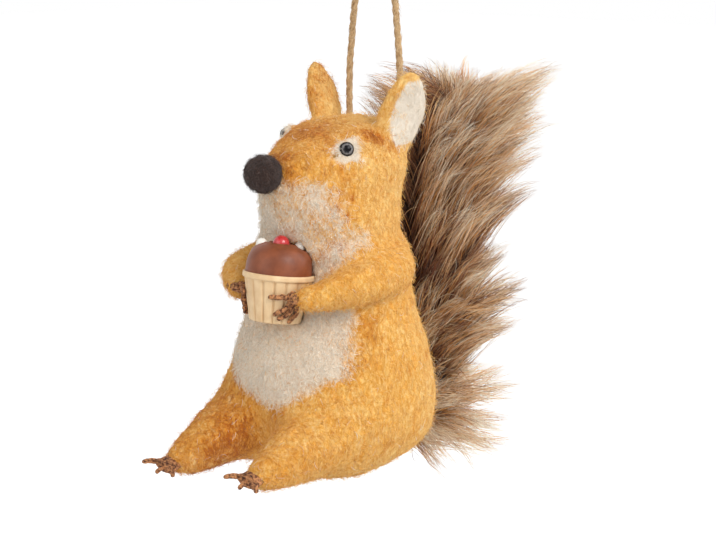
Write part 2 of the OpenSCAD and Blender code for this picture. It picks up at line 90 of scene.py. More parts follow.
def placed(points: Array) -> Array:
    """The squirrel's millimetres as the frame's metres, measured from the hang point."""
    return (np.asarray(points, float) - HANG_POINT) * MM


def unit(vectors: Array) -> Array:
    """Scales vectors along the last axis to length one."""
    return vectors / np.maximum(np.linalg.norm(vectors, axis=-1, keepdims=True), 1e-12)


def blend_step(low: float, high: float, value: Array) -> Array:
    """A smooth step from 0 at low to 1 at high."""
    share = np.clip((value - low) / (high - low), 0, 1)
    return share * share * (3 - 2 * share)


def noise(points: Array, size: float, seed: int) -> Array:
    """Smooth noise from about -1 to 1.

    Args:
        points: Points, one row each.
        size: Size of the noise's features, in the points' own unit.
        seed: Picks one noise out of many.

    Returns:
        One value for each point.
    """
    place = points / size + np.array([seed * 17.31, seed * 5.77, seed * 11.13])
    base = np.floor(place).astype(np.int64)
    part = place - base
    part = part * part * (3 - 2 * part)
    total = np.zeros(len(points))
    for corner in np.ndindex(2, 2, 2):
        cell = base + corner
        mixed = (cell * HASH_STEPS).sum(1) & LOW_BITS
        mixed = ((mixed ^ (mixed >> 13)) * HASH_SCALE) & LOW_BITS
        value = (mixed ^ (mixed >> 16)) / (LOW_BITS >> 1) - 1
        total += np.prod(np.where(corner, part, 1 - part), axis=1) * value
    return total


def eased(rows: Array, steps: int) -> Array:
    """Adds rows to a table so that it runs smoothly through the rows given.

    Args:
        rows: The table, one row for each station.
        steps: New rows for each gap between two given rows.

    Returns:
        The finer table, which ends with the last row given.
    """
    rows = np.asarray(rows, float)
    ahead = np.vstack([rows[:1], rows, rows[-1:]])
    share = (np.arange(steps) / steps)[:, None]
    fine = []
    for before, start, end, after in zip(ahead[:-3], ahead[1:-2], ahead[2:-1], ahead[3:]):
        slope = (end - before) * share
        bend = (2 * before - 5 * start + 4 * end - after) * share**2
        twist = (3 * start - before - 3 * end + after) * share**3
        fine.append((2 * start + slope + bend + twist) / 2)
    return np.vstack(fine + [rows[-1:]])


def run_along(path: Array) -> Array:
    """How far along a path each of its points lies."""
    return np.concatenate([[0], np.cumsum(np.linalg.norm(np.diff(path, axis=0), axis=1))])


def around(count: int) -> Array:
    """Angles that part a circle evenly."""
    return 2 * np.pi * np.arange(count) / count


def ways(polar: Array, columns: int) -> Array:
    """Rings of directions, each ring at an angle from straight up."""
    polar, turn = np.meshgrid(polar, around(columns), indexing="ij")
    return np.stack([np.sin(polar) * np.cos(turn), np.sin(polar) * np.sin(turn), np.cos(polar)], -1)


def ball_ways(rows: int, columns: int) -> Array:
    """Directions to all sides, from a ball's foot to its head, with rows that count both poles."""
    return ways(np.linspace(0, np.pi, rows)[1:-1], columns) * [1, 1, -1]


def turned(points: Array, degrees: float, axis: int) -> Array:
    """Turns points about one of the three axes through the origin.

    Args:
        points: The points.
        degrees: The turn.
        axis: 0, 1 or 2 for X, Y or Z.

    Returns:
        The turned points.
    """
    angle = math.radians(degrees)
    one, two = [(1, 2), (2, 0), (0, 1)][axis]
    out = np.array(points, float)
    out[..., one] = points[..., one] * math.cos(angle) - points[..., two] * math.sin(angle)
    out[..., two] = points[..., one] * math.sin(angle) + points[..., two] * math.cos(angle)
    return out


# Meshes


@dataclass
class Shell:
    """Points and faces under construction, in millimetres, with a bake map if it has one."""

    points: Array
    faces: list[Array]
    uv: Array | None = None

    def mesh(self, name: str) -> bpy.types.Mesh:
        """Makes the shell into a Blender mesh with smooth faces.

        Args:
            name: The mesh's name.

        Returns:
            The mesh, in metres.
        """
        mesh = bpy.data.meshes.new(name)
        corners = np.concatenate([f.ravel() for f in self.faces]).astype(np.int32)
        sizes = np.concatenate([np.full(len(f), f.shape[1]) for f in self.faces])
        starts = np.concatenate([[0], np.cumsum(sizes)[:-1]]).astype(np.int32)
        mesh.vertices.add(len(self.points))
        mesh.vertices.foreach_set("co", placed(self.points).astype(np.float32).ravel())
        mesh.loops.add(len(corners))
        mesh.loops.foreach_set("vertex_index", corners)
        mesh.polygons.add(len(sizes))
        mesh.polygons.foreach_set("loop_start", starts)
        mesh.polygons.foreach_set("use_smooth", np.ones(len(sizes), bool))
        mesh.update(calc_edges=True)
        if self.uv is not None:
            layer = mesh.uv_layers.new(name=BAKE_MAP)
            layer.data.foreach_set("uv", self.uv.astype(np.float32).ravel())
        mesh.validate()
        return mesh


def merged(shells: list[Shell]) -> Shell:
    """Several shells without bake maps as one.

    Args:
        shells: The shells.

    Returns:
        The one shell.
    """
    first = np.cumsum([0] + [len(s.points) for s in shells])
    faces = [f + shift for s, shift in zip(shells, first) for f in s.faces]
    return Shell(np.vstack([s.points for s in shells]), faces)


def skinned(rings: Array) -> Shell:
    """Closes a skin over rings of points, with a point in the middle of each end.

    Args:
        rings: An array of rings, points of a ring and three coordinates.

    Returns:
        The closed shell.
    """
    count, sides = rings.shape[:2]
    points = np.vstack([rings.reshape(-1, 3), rings[0].mean(0), rings[-1].mean(0)])
    row, column = np.meshgrid(np.arange(count - 1), np.arange(sides), indexing="ij")
    here = (row * sides + column).ravel()
    beside = (row * sides + (column + 1) % sides).ravel()
    walls = np.stack([here, beside, beside + sides, here + sides], 1)
    around = np.arange(sides)
    after = (around + 1) % sides
    last = (count - 1) * sides
    foot = np.stack([np.full(sides, count * sides), after, around], 1)
    head = np.stack([np.full(sides, count * sides + 1), last + around, last + after], 1)
    return Shell(points, [walls, foot, head])


def swept(path: Array, radii: Array, sides: int, across: tuple = (0.0, 0.0, 1.0)) -> Shell:
    """A tube along a path.

    Args:
        path: The points that the tube follows.
        radii: A radius for each point of the path, or for each point and side.
        sides: Points round the tube.
        across: A direction that the path never runs along.

    Returns:
        The closed tube.
    """
    heading = unit(np.gradient(path, axis=0))
    side = [unit(np.cross(heading[0], across))]
    for step in heading[1:]:
        side.append(unit(side[-1] - step * (side[-1] @ step)))
    side = np.array(side)
    other = np.cross(heading, side)
    turn = around(sides)
    radii = np.asarray(radii, float)
    radii = radii[:, None] if radii.ndim == 1 else radii
    out = side[:, None] * np.cos(turn)[None, :, None] + other[:, None] * np.sin(turn)[None, :, None]
    return skinned(path[:, None] + out * (radii * np.ones(sides))[..., None])


def strands(paths: Array, widths: Array, tones: Array, rng: Rng) -> Shell:
    """Closed three-sided hairs that taper to a point.

    The bake map's first number runs from root to tip and its second is the hair's tone.

    Args:
        paths: An array of hairs, points of a hair and three coordinates.
        widths: The radius of each hair at each of its points but the last.
        tones: A number from 0 to 1 for each hair.
        rng: The source of the hairs' random turns.

    Returns:
        All hairs as one shell.
    """
    count, length = paths.shape[:2]
    heading = unit(np.gradient(paths, axis=1))
    side = unit(np.cross(heading, unit(rng.normal(size=(count, 1, 3)))))
    other = np.cross(heading, side)
    turn = around(3)
    rings = length - 1
    ring_points = paths[:, :rings, None] + widths[:, :, None, None] * (
        side[:, :rings, None] * np.cos(turn)[:, None] + other[:, :rings, None] * np.sin(turn)[:, None]
    )
    each = rings * 3 + 1
    points = np.concatenate([ring_points.reshape(count, rings * 3, 3), paths[:, -1:]], 1).reshape(-1, 3)
    walls, wall_uv, ends, end_uv = [], [], [], []
    thin = 1 / 300
    for k, j in np.ndindex(rings, 3):
        a, b = k * 3 + j, k * 3 + (j + 1) % 3
        low, high = (j - 1.5) * thin, (j - 0.5) * thin
        if k < rings - 1:
            walls.append([a, b, b + 3, a + 3])
            wall_uv.append([[k, low], [k, high], [k + 1, high], [k + 1, low]])
        else:
            ends.append([a, b, rings * 3])
            end_uv.append([[k, low], [k, high], [rings, 0]])
    ends.append([0, 2, 1])
    end_uv.append([[0, -thin], [0.2, 0], [0, thin]])
    first = (np.arange(count) * each)[:, None, None]
    all_walls = (np.array(walls)[None] + first).reshape(-1, 4)
    all_ends = (np.array(ends)[None] + first).reshape(-1, 3)

    def laid(pattern: list) -> Array:
        """The bake map's corners of one kind of face, for every hair.

        Args:
            pattern: The corners of one hair's faces.

        Returns:
            A place for each corner.
        """
        flat = np.array(pattern, float)[None] / [rings, 1] * [0.96, 1] + [0.02, 0]
        flat = np.repeat(flat, count, 0)
        flat[..., 1] += (0.02 + 0.96 * np.asarray(tones))[:, None, None]
        return flat.reshape(-1, 2)

    return Shell(points, [all_walls, all_ends], np.vstack([laid(wall_uv), laid(end_uv)]))


def made(
    name: str, shell: Shell, material: Material, node: str = "", body: Body = Body.SQUIRREL
) -> bpy.types.Object:
    """Makes a shell into a piece that rides on a body.

    Args:
        name: The piece's name.
        shell: Its points and faces.
        material: Its finish.
        node: The CAD node that it replaces, if it replaces one.
        body: The body that it moves with.

    Returns:
        The piece.
    """
    piece = bpy.data.objects.new(name, shell.mesh(name))
    bpy.context.scene.collection.objects.link(piece)
    piece.data.materials.append(material)
    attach(piece, body.value)
    if node:
        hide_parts(node)
    LOG.info("%s: %d points", name, len(shell.points))
    return piece


# Colours and shader trees


def srgb(red: float, green: float, blue: float) -> tuple[float, float, float, float]:
    """A colour written from 0 to 255 for the screen, as a shader wants it.

    Args:
        red: Its red.
        green: Its green.
        blue: Its blue.

    Returns:
        The colour in linear light.
    """
    parts = [c / 255 for c in (red, green, blue)]
    linear = [c / 12.92 if c <= 0.04045 else ((c + 0.055) / 1.055) ** 2.4 for c in parts]
    return (linear[0], linear[1], linear[2], 1.0)


class Tree:
    """A shader tree under construction."""

    def __init__(self, tree: Group) -> None:
        """Empties a node tree and starts to build in it."""
        self.tree = tree
        self.tree.nodes.clear()

    def add(self, kind: str, settings: dict | None = None, **inputs: object) -> bpy.types.Node:
        """Adds a node.

        Args:
            kind: The node's type name without its ShaderNode prefix.
            settings: The node's own settings.
            inputs: Values or outputs for its inputs, as wire takes them.

        Returns:
            The node.
        """
        node = self.tree.nodes.new("ShaderNode" + kind)
        for name, value in (settings or {}).items():
            setattr(node, name, value)
        self.wire(node, **inputs)
        return node

    def wire(self, node: bpy.types.Node, **inputs: object) -> None:
        """Feeds a node's inputs, by name with _ for a blank, or i and a number.

        Args:
            node: The node.
            inputs: The inputs' values or the outputs to link.
        """
        for name, value in inputs.items():
            key = int(name[1:]) if name[0] == "i" and name[1:].isdigit() else name.replace("_", " ")
            self.feed(node.inputs[key], value)

    def feed(self, socket: Socket, value: object) -> None:
        """Sets an input to a value, or links an output to it.

        Args:
            socket: The input.
            value: The value or the output.
        """
        if isinstance(value, Socket):
            self.tree.links.new(value, socket)
        else:
            socket.default_value = value

    def math(self, operation: str, *values: object, clamp: bool = False) -> Socket:
        """The result of a sum on one to three values."""
        inputs = {f"i{number}": value for number, value in enumerate(values)}
        return self.add("Math", {"operation": operation, "use_clamp": clamp}, **inputs).outputs[0]

    def vector(self, operation: str, *values: object) -> Socket:
        """The vector that a sum on one or two vectors gives."""
        inputs = {f"i{number}": value for number, value in enumerate(values)}
        return self.add("VectorMath", {"operation": operation}, **inputs).outputs[0]

    def mixed(self, share: object, one: object, two: object) -> Socket:
        """One colour where share is 0 and the other where it is 1."""
        return self.add("Mix", {"data_type": "RGBA"}, i0=share, i6=one, i7=two).outputs[2]

    def ramp(self, share: object, stops: list[tuple[float, tuple]]) -> Socket:
        """A colour ramp's colour at a share.

        Args:
            share: Where to read the ramp.
            stops: Its places and colours, in order.

        Returns:
            The colour.
        """
        node = self.add("ValToRGB")
        for _ in stops[2:]:
            node.color_ramp.elements.new(0.5)
        for element, (place, colour) in zip(node.color_ramp.elements, stops):
            element.position = place
            element.color = colour
        self.feed(node.inputs[0], share)
        return node.outputs[0]

    def seen(self) -> Socket:
        """1 for camera, glossy and transmission rays, and 0 for all others.

        Returns:
            The output that tells.
        """
        rays = self.add("LightPath").outputs
        seen = self.math("MAXIMUM", rays["Is Camera Ray"], rays["Is Glossy Ray"])
        return self.math("MAXIMUM", seen, rays["Is Transmission Ray"])

    def place(self) -> Socket:
        """The place on the piece, in metres."""
        return self.add("TexCoord").outputs["Object"]

    def noise(self, vector: object, scale: object, detail: float) -> Socket:
        """A noise texture's value."""
        return self.add("TexNoise", Vector=vector, Scale=scale, Detail=detail).outputs[0]

    def bump(self, height: object, strength: float, distance: float) -> Socket:
        """A normal bent by a height."""
        return self.add("Bump", Height=height, Strength=strength, Distance=distance).outputs[0]

    def group(self, tree: Group, **inputs: object) -> bpy.types.Node:
        """Places a node group and feeds its inputs by name."""
        return self.add("Group", {"node_tree": tree}, **inputs)


def new_group(
    name: str, inputs: dict[str, float], outputs: list[str]
) -> tuple[Tree, bpy.types.Node, bpy.types.Node]:
    """Starts a shader node group whose sockets are all numbers.

    Args:
        name: The group's name.
        inputs: The names of its inputs and their usual values.
        outputs: The names of its outputs.

    Returns:
        The group's tree to build in, and its input and output nodes.
    """
    group = bpy.data.node_groups.new(name, "ShaderNodeTree")
    tree = Tree(group)
    for label, value in inputs.items():
        socket = group.interface.new_socket(name=label, in_out="INPUT", socket_type="NodeSocketFloat")
        socket.default_value = value
    for label in outputs:
        group.interface.new_socket(name=label, in_out="OUTPUT", socket_type="NodeSocketFloat")
    return tree, group.nodes.new("NodeGroupInput"), group.nodes.new("NodeGroupOutput")


def wool_grain() -> Group:
    """The fibres of felted wool: a tone and a height that wander in fine curled lines.

    Returns:
        A node group with the inputs Size, in millimetres, and Run, the stretch along Z, and
        the outputs Tone and Height from 0 to 1.
    """
    tree, source, sink = new_group("wool_grain", {"Size": 0.5, "Run": 0.5}, ["Tone", "Height"])
    place = tree.place()
    parts = tree.add("SeparateXYZ", i0=place)
    long = tree.math("MULTIPLY", parts.outputs[2], source.outputs["Run"])
    flow = tree.add("CombineXYZ", i0=parts.outputs[0], i1=parts.outputs[1], i2=long).outputs[0]
    warp = tree.add("TexNoise", Vector=place, Scale=330.0, Detail=2.0).outputs[1]
    centred = tree.vector("SUBTRACT", warp, (0.5, 0.5, 0.5))
    shift = tree.add("VectorMath", {"operation": "SCALE"}, i0=centred, Scale=0.0032).outputs[0]
    bent = tree.vector("ADD", flow, shift)
    scale = tree.math("DIVIDE", 1000.0, source.outputs["Size"])
    ridges = []
    for turn, grow in (((0, 0, 0), 1.0), ((0.7, 0.4, 1.1), 1.6), ((1.3, -0.6, 0.5), 0.62)):
        spun = tree.add("VectorRotate", {"rotation_type": "EULER_XYZ"}, Vector=bent, Rotation=turn).outputs[0]
        cloud = tree.noise(spun, tree.math("MULTIPLY", scale, grow), 1.0)
        away = tree.math("ABSOLUTE", tree.math("SUBTRACT", cloud, 0.5))
        ridges.append(tree.math("SUBTRACT", 1.0, tree.math("MULTIPLY", away, 7.0), clamp=True))
    height = tree.math("MAXIMUM", tree.math("MAXIMUM", ridges[0], ridges[1]), ridges[2])
    cloud = tree.noise(bent, tree.math("MULTIPLY", scale, 0.45), 3.0)
    tone = tree.math("MULTIPLY_ADD", ridges[0], 0.3, tree.math("MULTIPLY", ridges[2], 0.2))
    drift = tree.math("MULTIPLY_ADD", tree.math("SUBTRACT", cloud, 0.5), 1.6, 0.25)
    tree.wire(sink, Tone=tree.math("ADD", tone, drift, clamp=True), Height=height)
    return tree.tree


def soft_wear() -> Group:
    """The small uneven patches of a moulded or painted surface.

    Returns:
        A node group with the input Size, in millimetres, and the outputs Patch and Grain.
    """
    tree, source, sink = new_group("soft_wear", {"Size": 3.0}, ["Patch", "Grain"])
    place = tree.place()
    scale = tree.math("DIVIDE", 1000.0, source.outputs["Size"])
    grain = tree.noise(place, tree.math("MULTIPLY", scale, 9.0), 2.0)
    tree.wire(sink, Patch=tree.noise(place, scale, 3.0), Grain=grain)
    return tree.tree


def finish_of(name: str, **values: object) -> tuple[Material, Tree, bpy.types.Node]:
    """Starts a material with a Principled shader on its output.

    Args:
        name: The material's name.
        values: Fixed values for the shader's own sockets, by name with _ for a blank.

    Returns:
        The material, its tree and the shader node.
    """
    material = bpy.data.materials.new(name)
    material.use_nodes = True
    tree = Tree(material.node_tree)
    shader = tree.add("BsdfPrincipled", **values)
    tree.add("OutputMaterial", i0=shader.outputs[0])
    return material, tree, shader


@dataclass(frozen=True)
class WoolFinish:
    """Felted wool whose colours follow the white, deep and pale layers on its points. The deep layer holds
    painted shade besides deeper wool, and the pale layer partly painted light.
    """

    name: str = "felted_wool"
    pale: tuple = srgb(246, 202, 124)
    gold: tuple = srgb(236, 170, 72)
    deep: tuple = srgb(206, 126, 30)
    rust: tuple = srgb(176, 92, 26)
    cream: tuple = srgb(244, 234, 218)
    shade: tuple = srgb(226, 190, 148)

    def material(self, grain: Group) -> Material:
        """Builds the material.

        Args:
            grain: The wool grain group.

        Returns:
            The material.
        """
        material, tree, shader = finish_of(
            self.name,
            Roughness=0.95,
            Specular_IOR_Level=0.15,
            Sheen_Weight=0.12,
            Sheen_Roughness=0.6,
            Sheen_Tint=srgb(255, 235, 200),
        )
        layer = {
            key: tree.add("Attribute", {"attribute_name": key}).outputs["Fac"]
            for key in ("white", "deep", "pale")
        }
        fine = tree.group(grain, Size=0.42, Run=0.45)
        coarse = tree.group(grain, Size=1.5, Run=0.6)
        tone = tree.math("MULTIPLY", coarse.outputs["Tone"], 0.32)
        tone = tree.math("MULTIPLY_ADD", fine.outputs["Tone"], 0.68, tone)
        away = tree.math("SUBTRACT", tone, 0.5)
        # The pale layer lightens the gold: partly painted light.
        golden = tree.math("ADD", layer["pale"], tree.math("MULTIPLY", away, 1.7), clamp=True)
        colour = tree.mixed(golden, self.gold, self.pale)
        # The deep layer darkens towards deep orange and rust: darker wool and painted shade.
        dark = tree.math("ADD", layer["deep"], tree.math("MULTIPLY", away, -1.0), clamp=True)
        colour = tree.mixed(dark, colour, self.deep)
        rusty = tree.math("MULTIPLY", tree.math("SUBTRACT", dark, 0.72, clamp=True), 3.0, clamp=True)
        colour = tree.mixed(rusty, colour, self.rust)
        # The white wool leans to the shade colour less where the pale layer is high: painted shade away from
        # the lit back and cheeks, and whiter ear linings.
        shaded_cream_share = tree.math("SUBTRACT", 1.15, layer["pale"])
        pure = tree.mixed(tree.math("MULTIPLY", tone, shaded_cream_share), self.cream, self.shade)
        mask = tree.math("ADD", layer["white"], tree.math("MULTIPLY", away, 0.9))
        mask = tree.add("MapRange", {"interpolation_type": "SMOOTHSTEP"}, Value=mask, i1=0.08, i2=0.92)
        height = tree.math("MULTIPLY_ADD", coarse.outputs["Height"], 1.4, fine.outputs["Height"])
        colour = tree.mixed(mask.outputs[0], colour, pure)
        tree.wire(shader, Base_Color=colour, Normal=tree.bump(height, 0.7, 0.0003))
        return material


@dataclass(frozen=True)
class HairFinish:
    """Hair or fibre whose bake map gives root to tip and tone. Each tone has its own ramp."""

    name: str
    tones: tuple[tuple[tuple, ...], ...]
    roughness: float = 0.8
    sheen: float = 0.15
    specular: float = 0.25

    def material(self) -> Material:
        """Builds the material.

        Returns:
            The material.
        """
        material, tree, shader = finish_of(
            self.name, Roughness=self.roughness, Specular_IOR_Level=self.specular, Sheen_Weight=self.sheen
        )
        parts = tree.add("SeparateXYZ", i0=tree.add("UVMap", {"uv_map": BAKE_MAP}).outputs[0])
        along, tone = parts.outputs[0], parts.outputs[1]
        count = len(self.tones)
        colour = None
        for row, colours in enumerate(self.tones):
            stops = [(k / max(len(colours) - 1, 1), c) for k, c in enumerate(colours)]
            here = tree.ramp(along, stops) if len(stops) > 1 else colours[0]
            if colour is None:
                colour = here
            else:
                colour = tree.mixed(tree.math("GREATER_THAN", tone, row / count), colour, here)
        tree.wire(shader, Base_Color=colour)
        return material


@dataclass(frozen=True)
class MouldedFinish:
    """Moulded or painted resin, wire, thread or weave, with soft uneven patches."""

    name: str
    light: tuple
    dark: tuple
    roughness: float = 0.45
    rough_change: float = 0.15
    metallic: float = 0.0
    coat: float = 0.0
    patch: float = 3.0
    grain_depth: float = 0.00002
    specular: float = 0.5

    def material(self, wear: Group) -> Material:
        """Builds the material.

        Args:
            wear: The soft wear group.

        Returns:
            The material.
        """
        material, tree, shader = finish_of(
            self.name,
            Metallic=self.metallic,
            Specular_IOR_Level=self.specular,
            Coat_Weight=self.coat,
            Coat_Roughness=0.08,
        )
        spots = tree.group(wear, Size=self.patch)
        share = tree.math("SUBTRACT", spots.outputs["Patch"], 0.5)
        share = tree.math("MULTIPLY_ADD", share, 2.2, 0.5, clamp=True)
        colour = tree.mixed(share, self.light, self.dark)
        smoothest = self.roughness - self.rough_change / 2
        rough = tree.math("MULTIPLY_ADD", spots.outputs["Grain"], self.rough_change, smoothest)
        normal = tree.bump(spots.outputs["Grain"], 0.5, self.grain_depth)
        tree.wire(shader, Base_Color=colour, Roughness=rough, Normal=normal)
        return material


# Felted forms, as distances in millimetres: below zero inside, above zero outside


class Upright:
    """A form that stands up, from rows of height, place along Y, half width, half depth and the
    share by which its front narrows."""

    def __init__(self, rows: list[list[float]]) -> None:
        """Reads the table.

        Args:
            rows: The form's rows from its foot to its top.
        """
        fine = eased(rows, 10)
        self.height = np.maximum.accumulate(fine[:, 0] + np.arange(len(fine)) * 1e-6)
        self.middle = fine[:, 1]
        self.half_width = np.maximum(fine[:, 2], 1e-3)
        self.half_depth = np.maximum(fine[:, 3], 1e-3)
        self.taper = fine[:, 4]
        self.slope = np.gradient(np.sqrt(self.half_width * self.half_depth), self.height)

    def at(self, column: Array, height: Array) -> Array:
        """A column of the table at given heights."""
        return np.interp(height, self.height, column)

    def section(self, height: Array) -> tuple[Array, ...]:
        """The middle's place along Y, the half width and the half depth at given heights."""
        return tuple(self.at(c, height) for c in (self.middle, self.half_width, self.half_depth))

    def distance(self, points: Array) -> Array:
        """How far points are outside the form.

        Args:
            points: The points.

        Returns:
            Their distances.
        """
        height = np.clip(points[..., 2], self.height[0], self.height[-1])
        middle, wide, deep = self.section(height)
        x, y = points[..., 0], points[..., 1] - middle
        narrowed = wide * (1 + self.at(self.taper, height) * np.clip(y / deep, -1, 1))
        share = np.maximum(np.hypot(x / narrowed, y / deep), 1e-4)
        out = np.hypot(x, y)
        radius = np.where(out > 1e-3, out / share, np.minimum(wide, deep))
        slope = np.minimum(np.abs(self.at(self.slope, height)), 1.5)
        away = (out - radius) / np.sqrt(1 + slope**2)
        above = points[..., 2] - height
        return np.where(above == 0, away, np.hypot(np.maximum(away, 0), above))


class Limb:
    """A round form along a route, from rows of three coordinates and a radius."""

    def __init__(self, rows: list[list[float]]) -> None:
        """Reads the table, whose rows run from the limb's root to its end."""
        fine = eased(rows, 6)
        self.route, self.radius = fine[:, :3], fine[:, 3]

    def distance(self, points: Array) -> Array:
        """How far points are outside the limb.

        Args:
            points: The points.

        Returns:
            Their distances.
        """
        best = np.full(points.shape[:-1], 1e3)
        stations = list(zip(self.route, self.radius))
        for (start, wide), (end, narrow) in zip(stations[:-1], stations[1:]):
            way = end - start
            if way @ way < 1e-9:
                continue
            share = np.clip(((points - start) @ way) / (way @ way), 0, 1)
            away = np.linalg.norm(points - (start + share[..., None] * way), axis=-1)
            best = np.minimum(best, away - (wide + share * (narrow - wide)))
        return best


@dataclass
class Ear:
    """A cupped leaf of felt on one side of the crown."""

    side: Side
    length: float = 23.0
    width: float = 15.5
    thickness: float = 5.4
    roots: dict = field(
        default_factory=lambda: {Side.LEFT: (11.0, 8.5, 88.5), Side.RIGHT: (11.6, 10.5, 88.5)}
    )
    leans: dict = field(default_factory=lambda: {Side.LEFT: 20.0, Side.RIGHT: 16.0})
    turn: float = 14.0
    cup_depth: float = 1.5
    leaf: Upright = field(init=False)

    def __post_init__(self) -> None:
        """Makes the leaf's outline."""
        shares = [
            (0, 0, 0), (0.06, 0.55, 0.9), (0.3, 0.92, 0.95), (0.52, 1, 0.85),
            (0.75, 0.8, 0.68), (0.93, 0.38, 0.46), (1, 0, 0),
        ]
        self.leaf = Upright(
            [[s[0] * self.length, 0, s[1] * self.width / 2, s[2] * self.thickness / 2, 0] for s in shares]
        )

    def local(self, points: Array) -> Array:
        """Points as the leaf sees them: its hollow side, across its width and along it.

        Args:
            points: The points.

        Returns:
            The same points in the leaf's own frame.
        """
        own = np.array(points, float)
        own[..., 0] *= self.side.value
        own = own - np.array(self.roots[self.side])
        return turned(turned(own, self.turn, 2), -self.leans[self.side], 1)

    def distance(self, points: Array) -> Array:
        """How far points are outside the leaf.

        Args:
            points: The points.

        Returns:
            Their distances.
        """
        own = self.local(points)
        leaf = self.leaf.distance(np.stack([own[..., 1], own[..., 0], own[..., 2]], -1))
        middle = np.array([self.thickness / 2 + 2.6, 0.4, self.length * 0.54])
        half = np.array([2.6 + self.cup_depth, self.width * 0.36, self.length * 0.36])
        share = np.linalg.norm((own - middle) / half, axis=-1)
        hollow = (share - 1) * half[0]
        return smooth_cut(leaf, hollow, 1.0)

    def lining(self, points: Array) -> Array:
        """How far points are inside the white lining's outline, on the hollow side.

        Args:
            points: The points.

        Returns:
            Their distances.
        """
        own = self.local(points)
        share = own[..., 2] / self.length
        edge = self.leaf.at(self.leaf.half_width, own[..., 2]) * 0.8 - np.abs(own[..., 1] - 1.2)
        edge = np.minimum(edge, (share - 0.13) * self.length)
        edge = np.minimum(edge, (0.91 - share) * self.length)
        return np.where(own[..., 0] > -0.4, edge, -3.0)


def smooth_union(one: Array, two: Array, reach: float) -> Array:
    """Joins two distances with a fillet of about that reach."""
    near = np.maximum(reach - np.abs(one - two), 0) / reach
    return np.minimum(one, two) - near * near * reach / 4


def smooth_cut(form: Array, cutter: Array, reach: float) -> Array:
    """Takes a cutter out of a form and rounds the edge."""
    return -smooth_union(-form, cutter, reach)


def surface_net(values: Array, origin: Array, step: float) -> tuple[Array, Array]:
    """Finds the surface where values on a grid pass zero.

    Args:
        values: Distances on a regular grid of points.
        origin: The grid's first point.
        step: The grid's spacing.

    Returns:
        The surface's points and its four-cornered faces.
    """
    inside = values < 0
    cells = tuple(n - 1 for n in values.shape)
    count = np.zeros(cells, np.uint8)
    for i, j, k in np.ndindex(2, 2, 2):
        count += inside[i : i + cells[0], j : j + cells[1], k : k + cells[2]]
    active = (count > 0) & (count < 8)
    index = np.full(cells, -1)
    index[active] = np.arange(active.sum())
    cell = np.argwhere(active)
    total, hits = np.zeros((len(cell), 3)), np.zeros(len(cell))
    for start in np.ndindex(2, 2, 2):
        for axis in range(3):
            if start[axis]:
                continue
            end = np.array(start) + np.eye(3, dtype=int)[axis]
            one = values[tuple((cell + start).T)]
            two = values[tuple((cell + end).T)]
            crossed = (one < 0) != (two < 0)
            share = np.where(crossed, one / np.where(crossed, one - two, 1), 0)
            total += crossed[:, None] * (np.array(start) + share[:, None] * (end - np.array(start)))
            hits += crossed
    points = origin + step * (cell + total / hits[:, None])
    faces = []
    for axis in range(3):
        one, two = (axis + 1) % 3, (axis + 2) % 3
        low = np.moveaxis(inside, axis, 0)[:-1]
        high = np.moveaxis(inside, axis, 0)[1:]
        edges = np.argwhere(np.moveaxis(low != high, 0, axis))
        edges = edges[(edges[:, one] > 0) & (edges[:, two] > 0)]
        edges = edges[(edges[:, one] < cells[one]) & (edges[:, two] < cells[two])]
        u, v = np.eye(3, dtype=int)[one], np.eye(3, dtype=int)[two]
        quad = np.stack([index[tuple((edges - s).T)] for s in (0 * u, u, u + v, v)], 1)
        flip = ~inside[tuple(edges.T)]
        quad[flip] = quad[flip][:, ::-1]
        faces.append(quad)
    return points, np.vstack(faces)


def face_normals(points: Array, faces: Array) -> Array:
    """The normal of each four-cornered face, as long as twice its area."""
    corner = points[faces]
    return np.cross(corner[:, 2] - corner[:, 0], corner[:, 3] - corner[:, 1])


def outline_depth(points: Array, outline: tuple) -> Array:
    """How far points in a plane are inside an outline; below zero outside it.

    Args:
        points: Points in the plane, one row each.
        outline: The corners of a closed outline.

    Returns:
        The distance to the outline's edge.
    """
    corners = np.array(outline)
    best = np.full(len(points), 1e3)
    inside = np.zeros(len(points), bool)
    for start, end in zip(corners, np.roll(corners, -1, 0)):
        way = end - start
        share = np.clip(((points - start) @ way) / (way @ way), 0, 1)
        best = np.minimum(best, np.linalg.norm(points - (start + share[:, None] * way), axis=1))
        if start[1] != end[1]:
            spans = (start[1] > points[:, 1]) != (end[1] > points[:, 1])
            cross = start[0] + (points[:, 1] - start[1]) * way[0] / way[1]
            inside ^= spans & (points[:, 0] < cross)
    return np.where(inside, best, -best)


# The studio


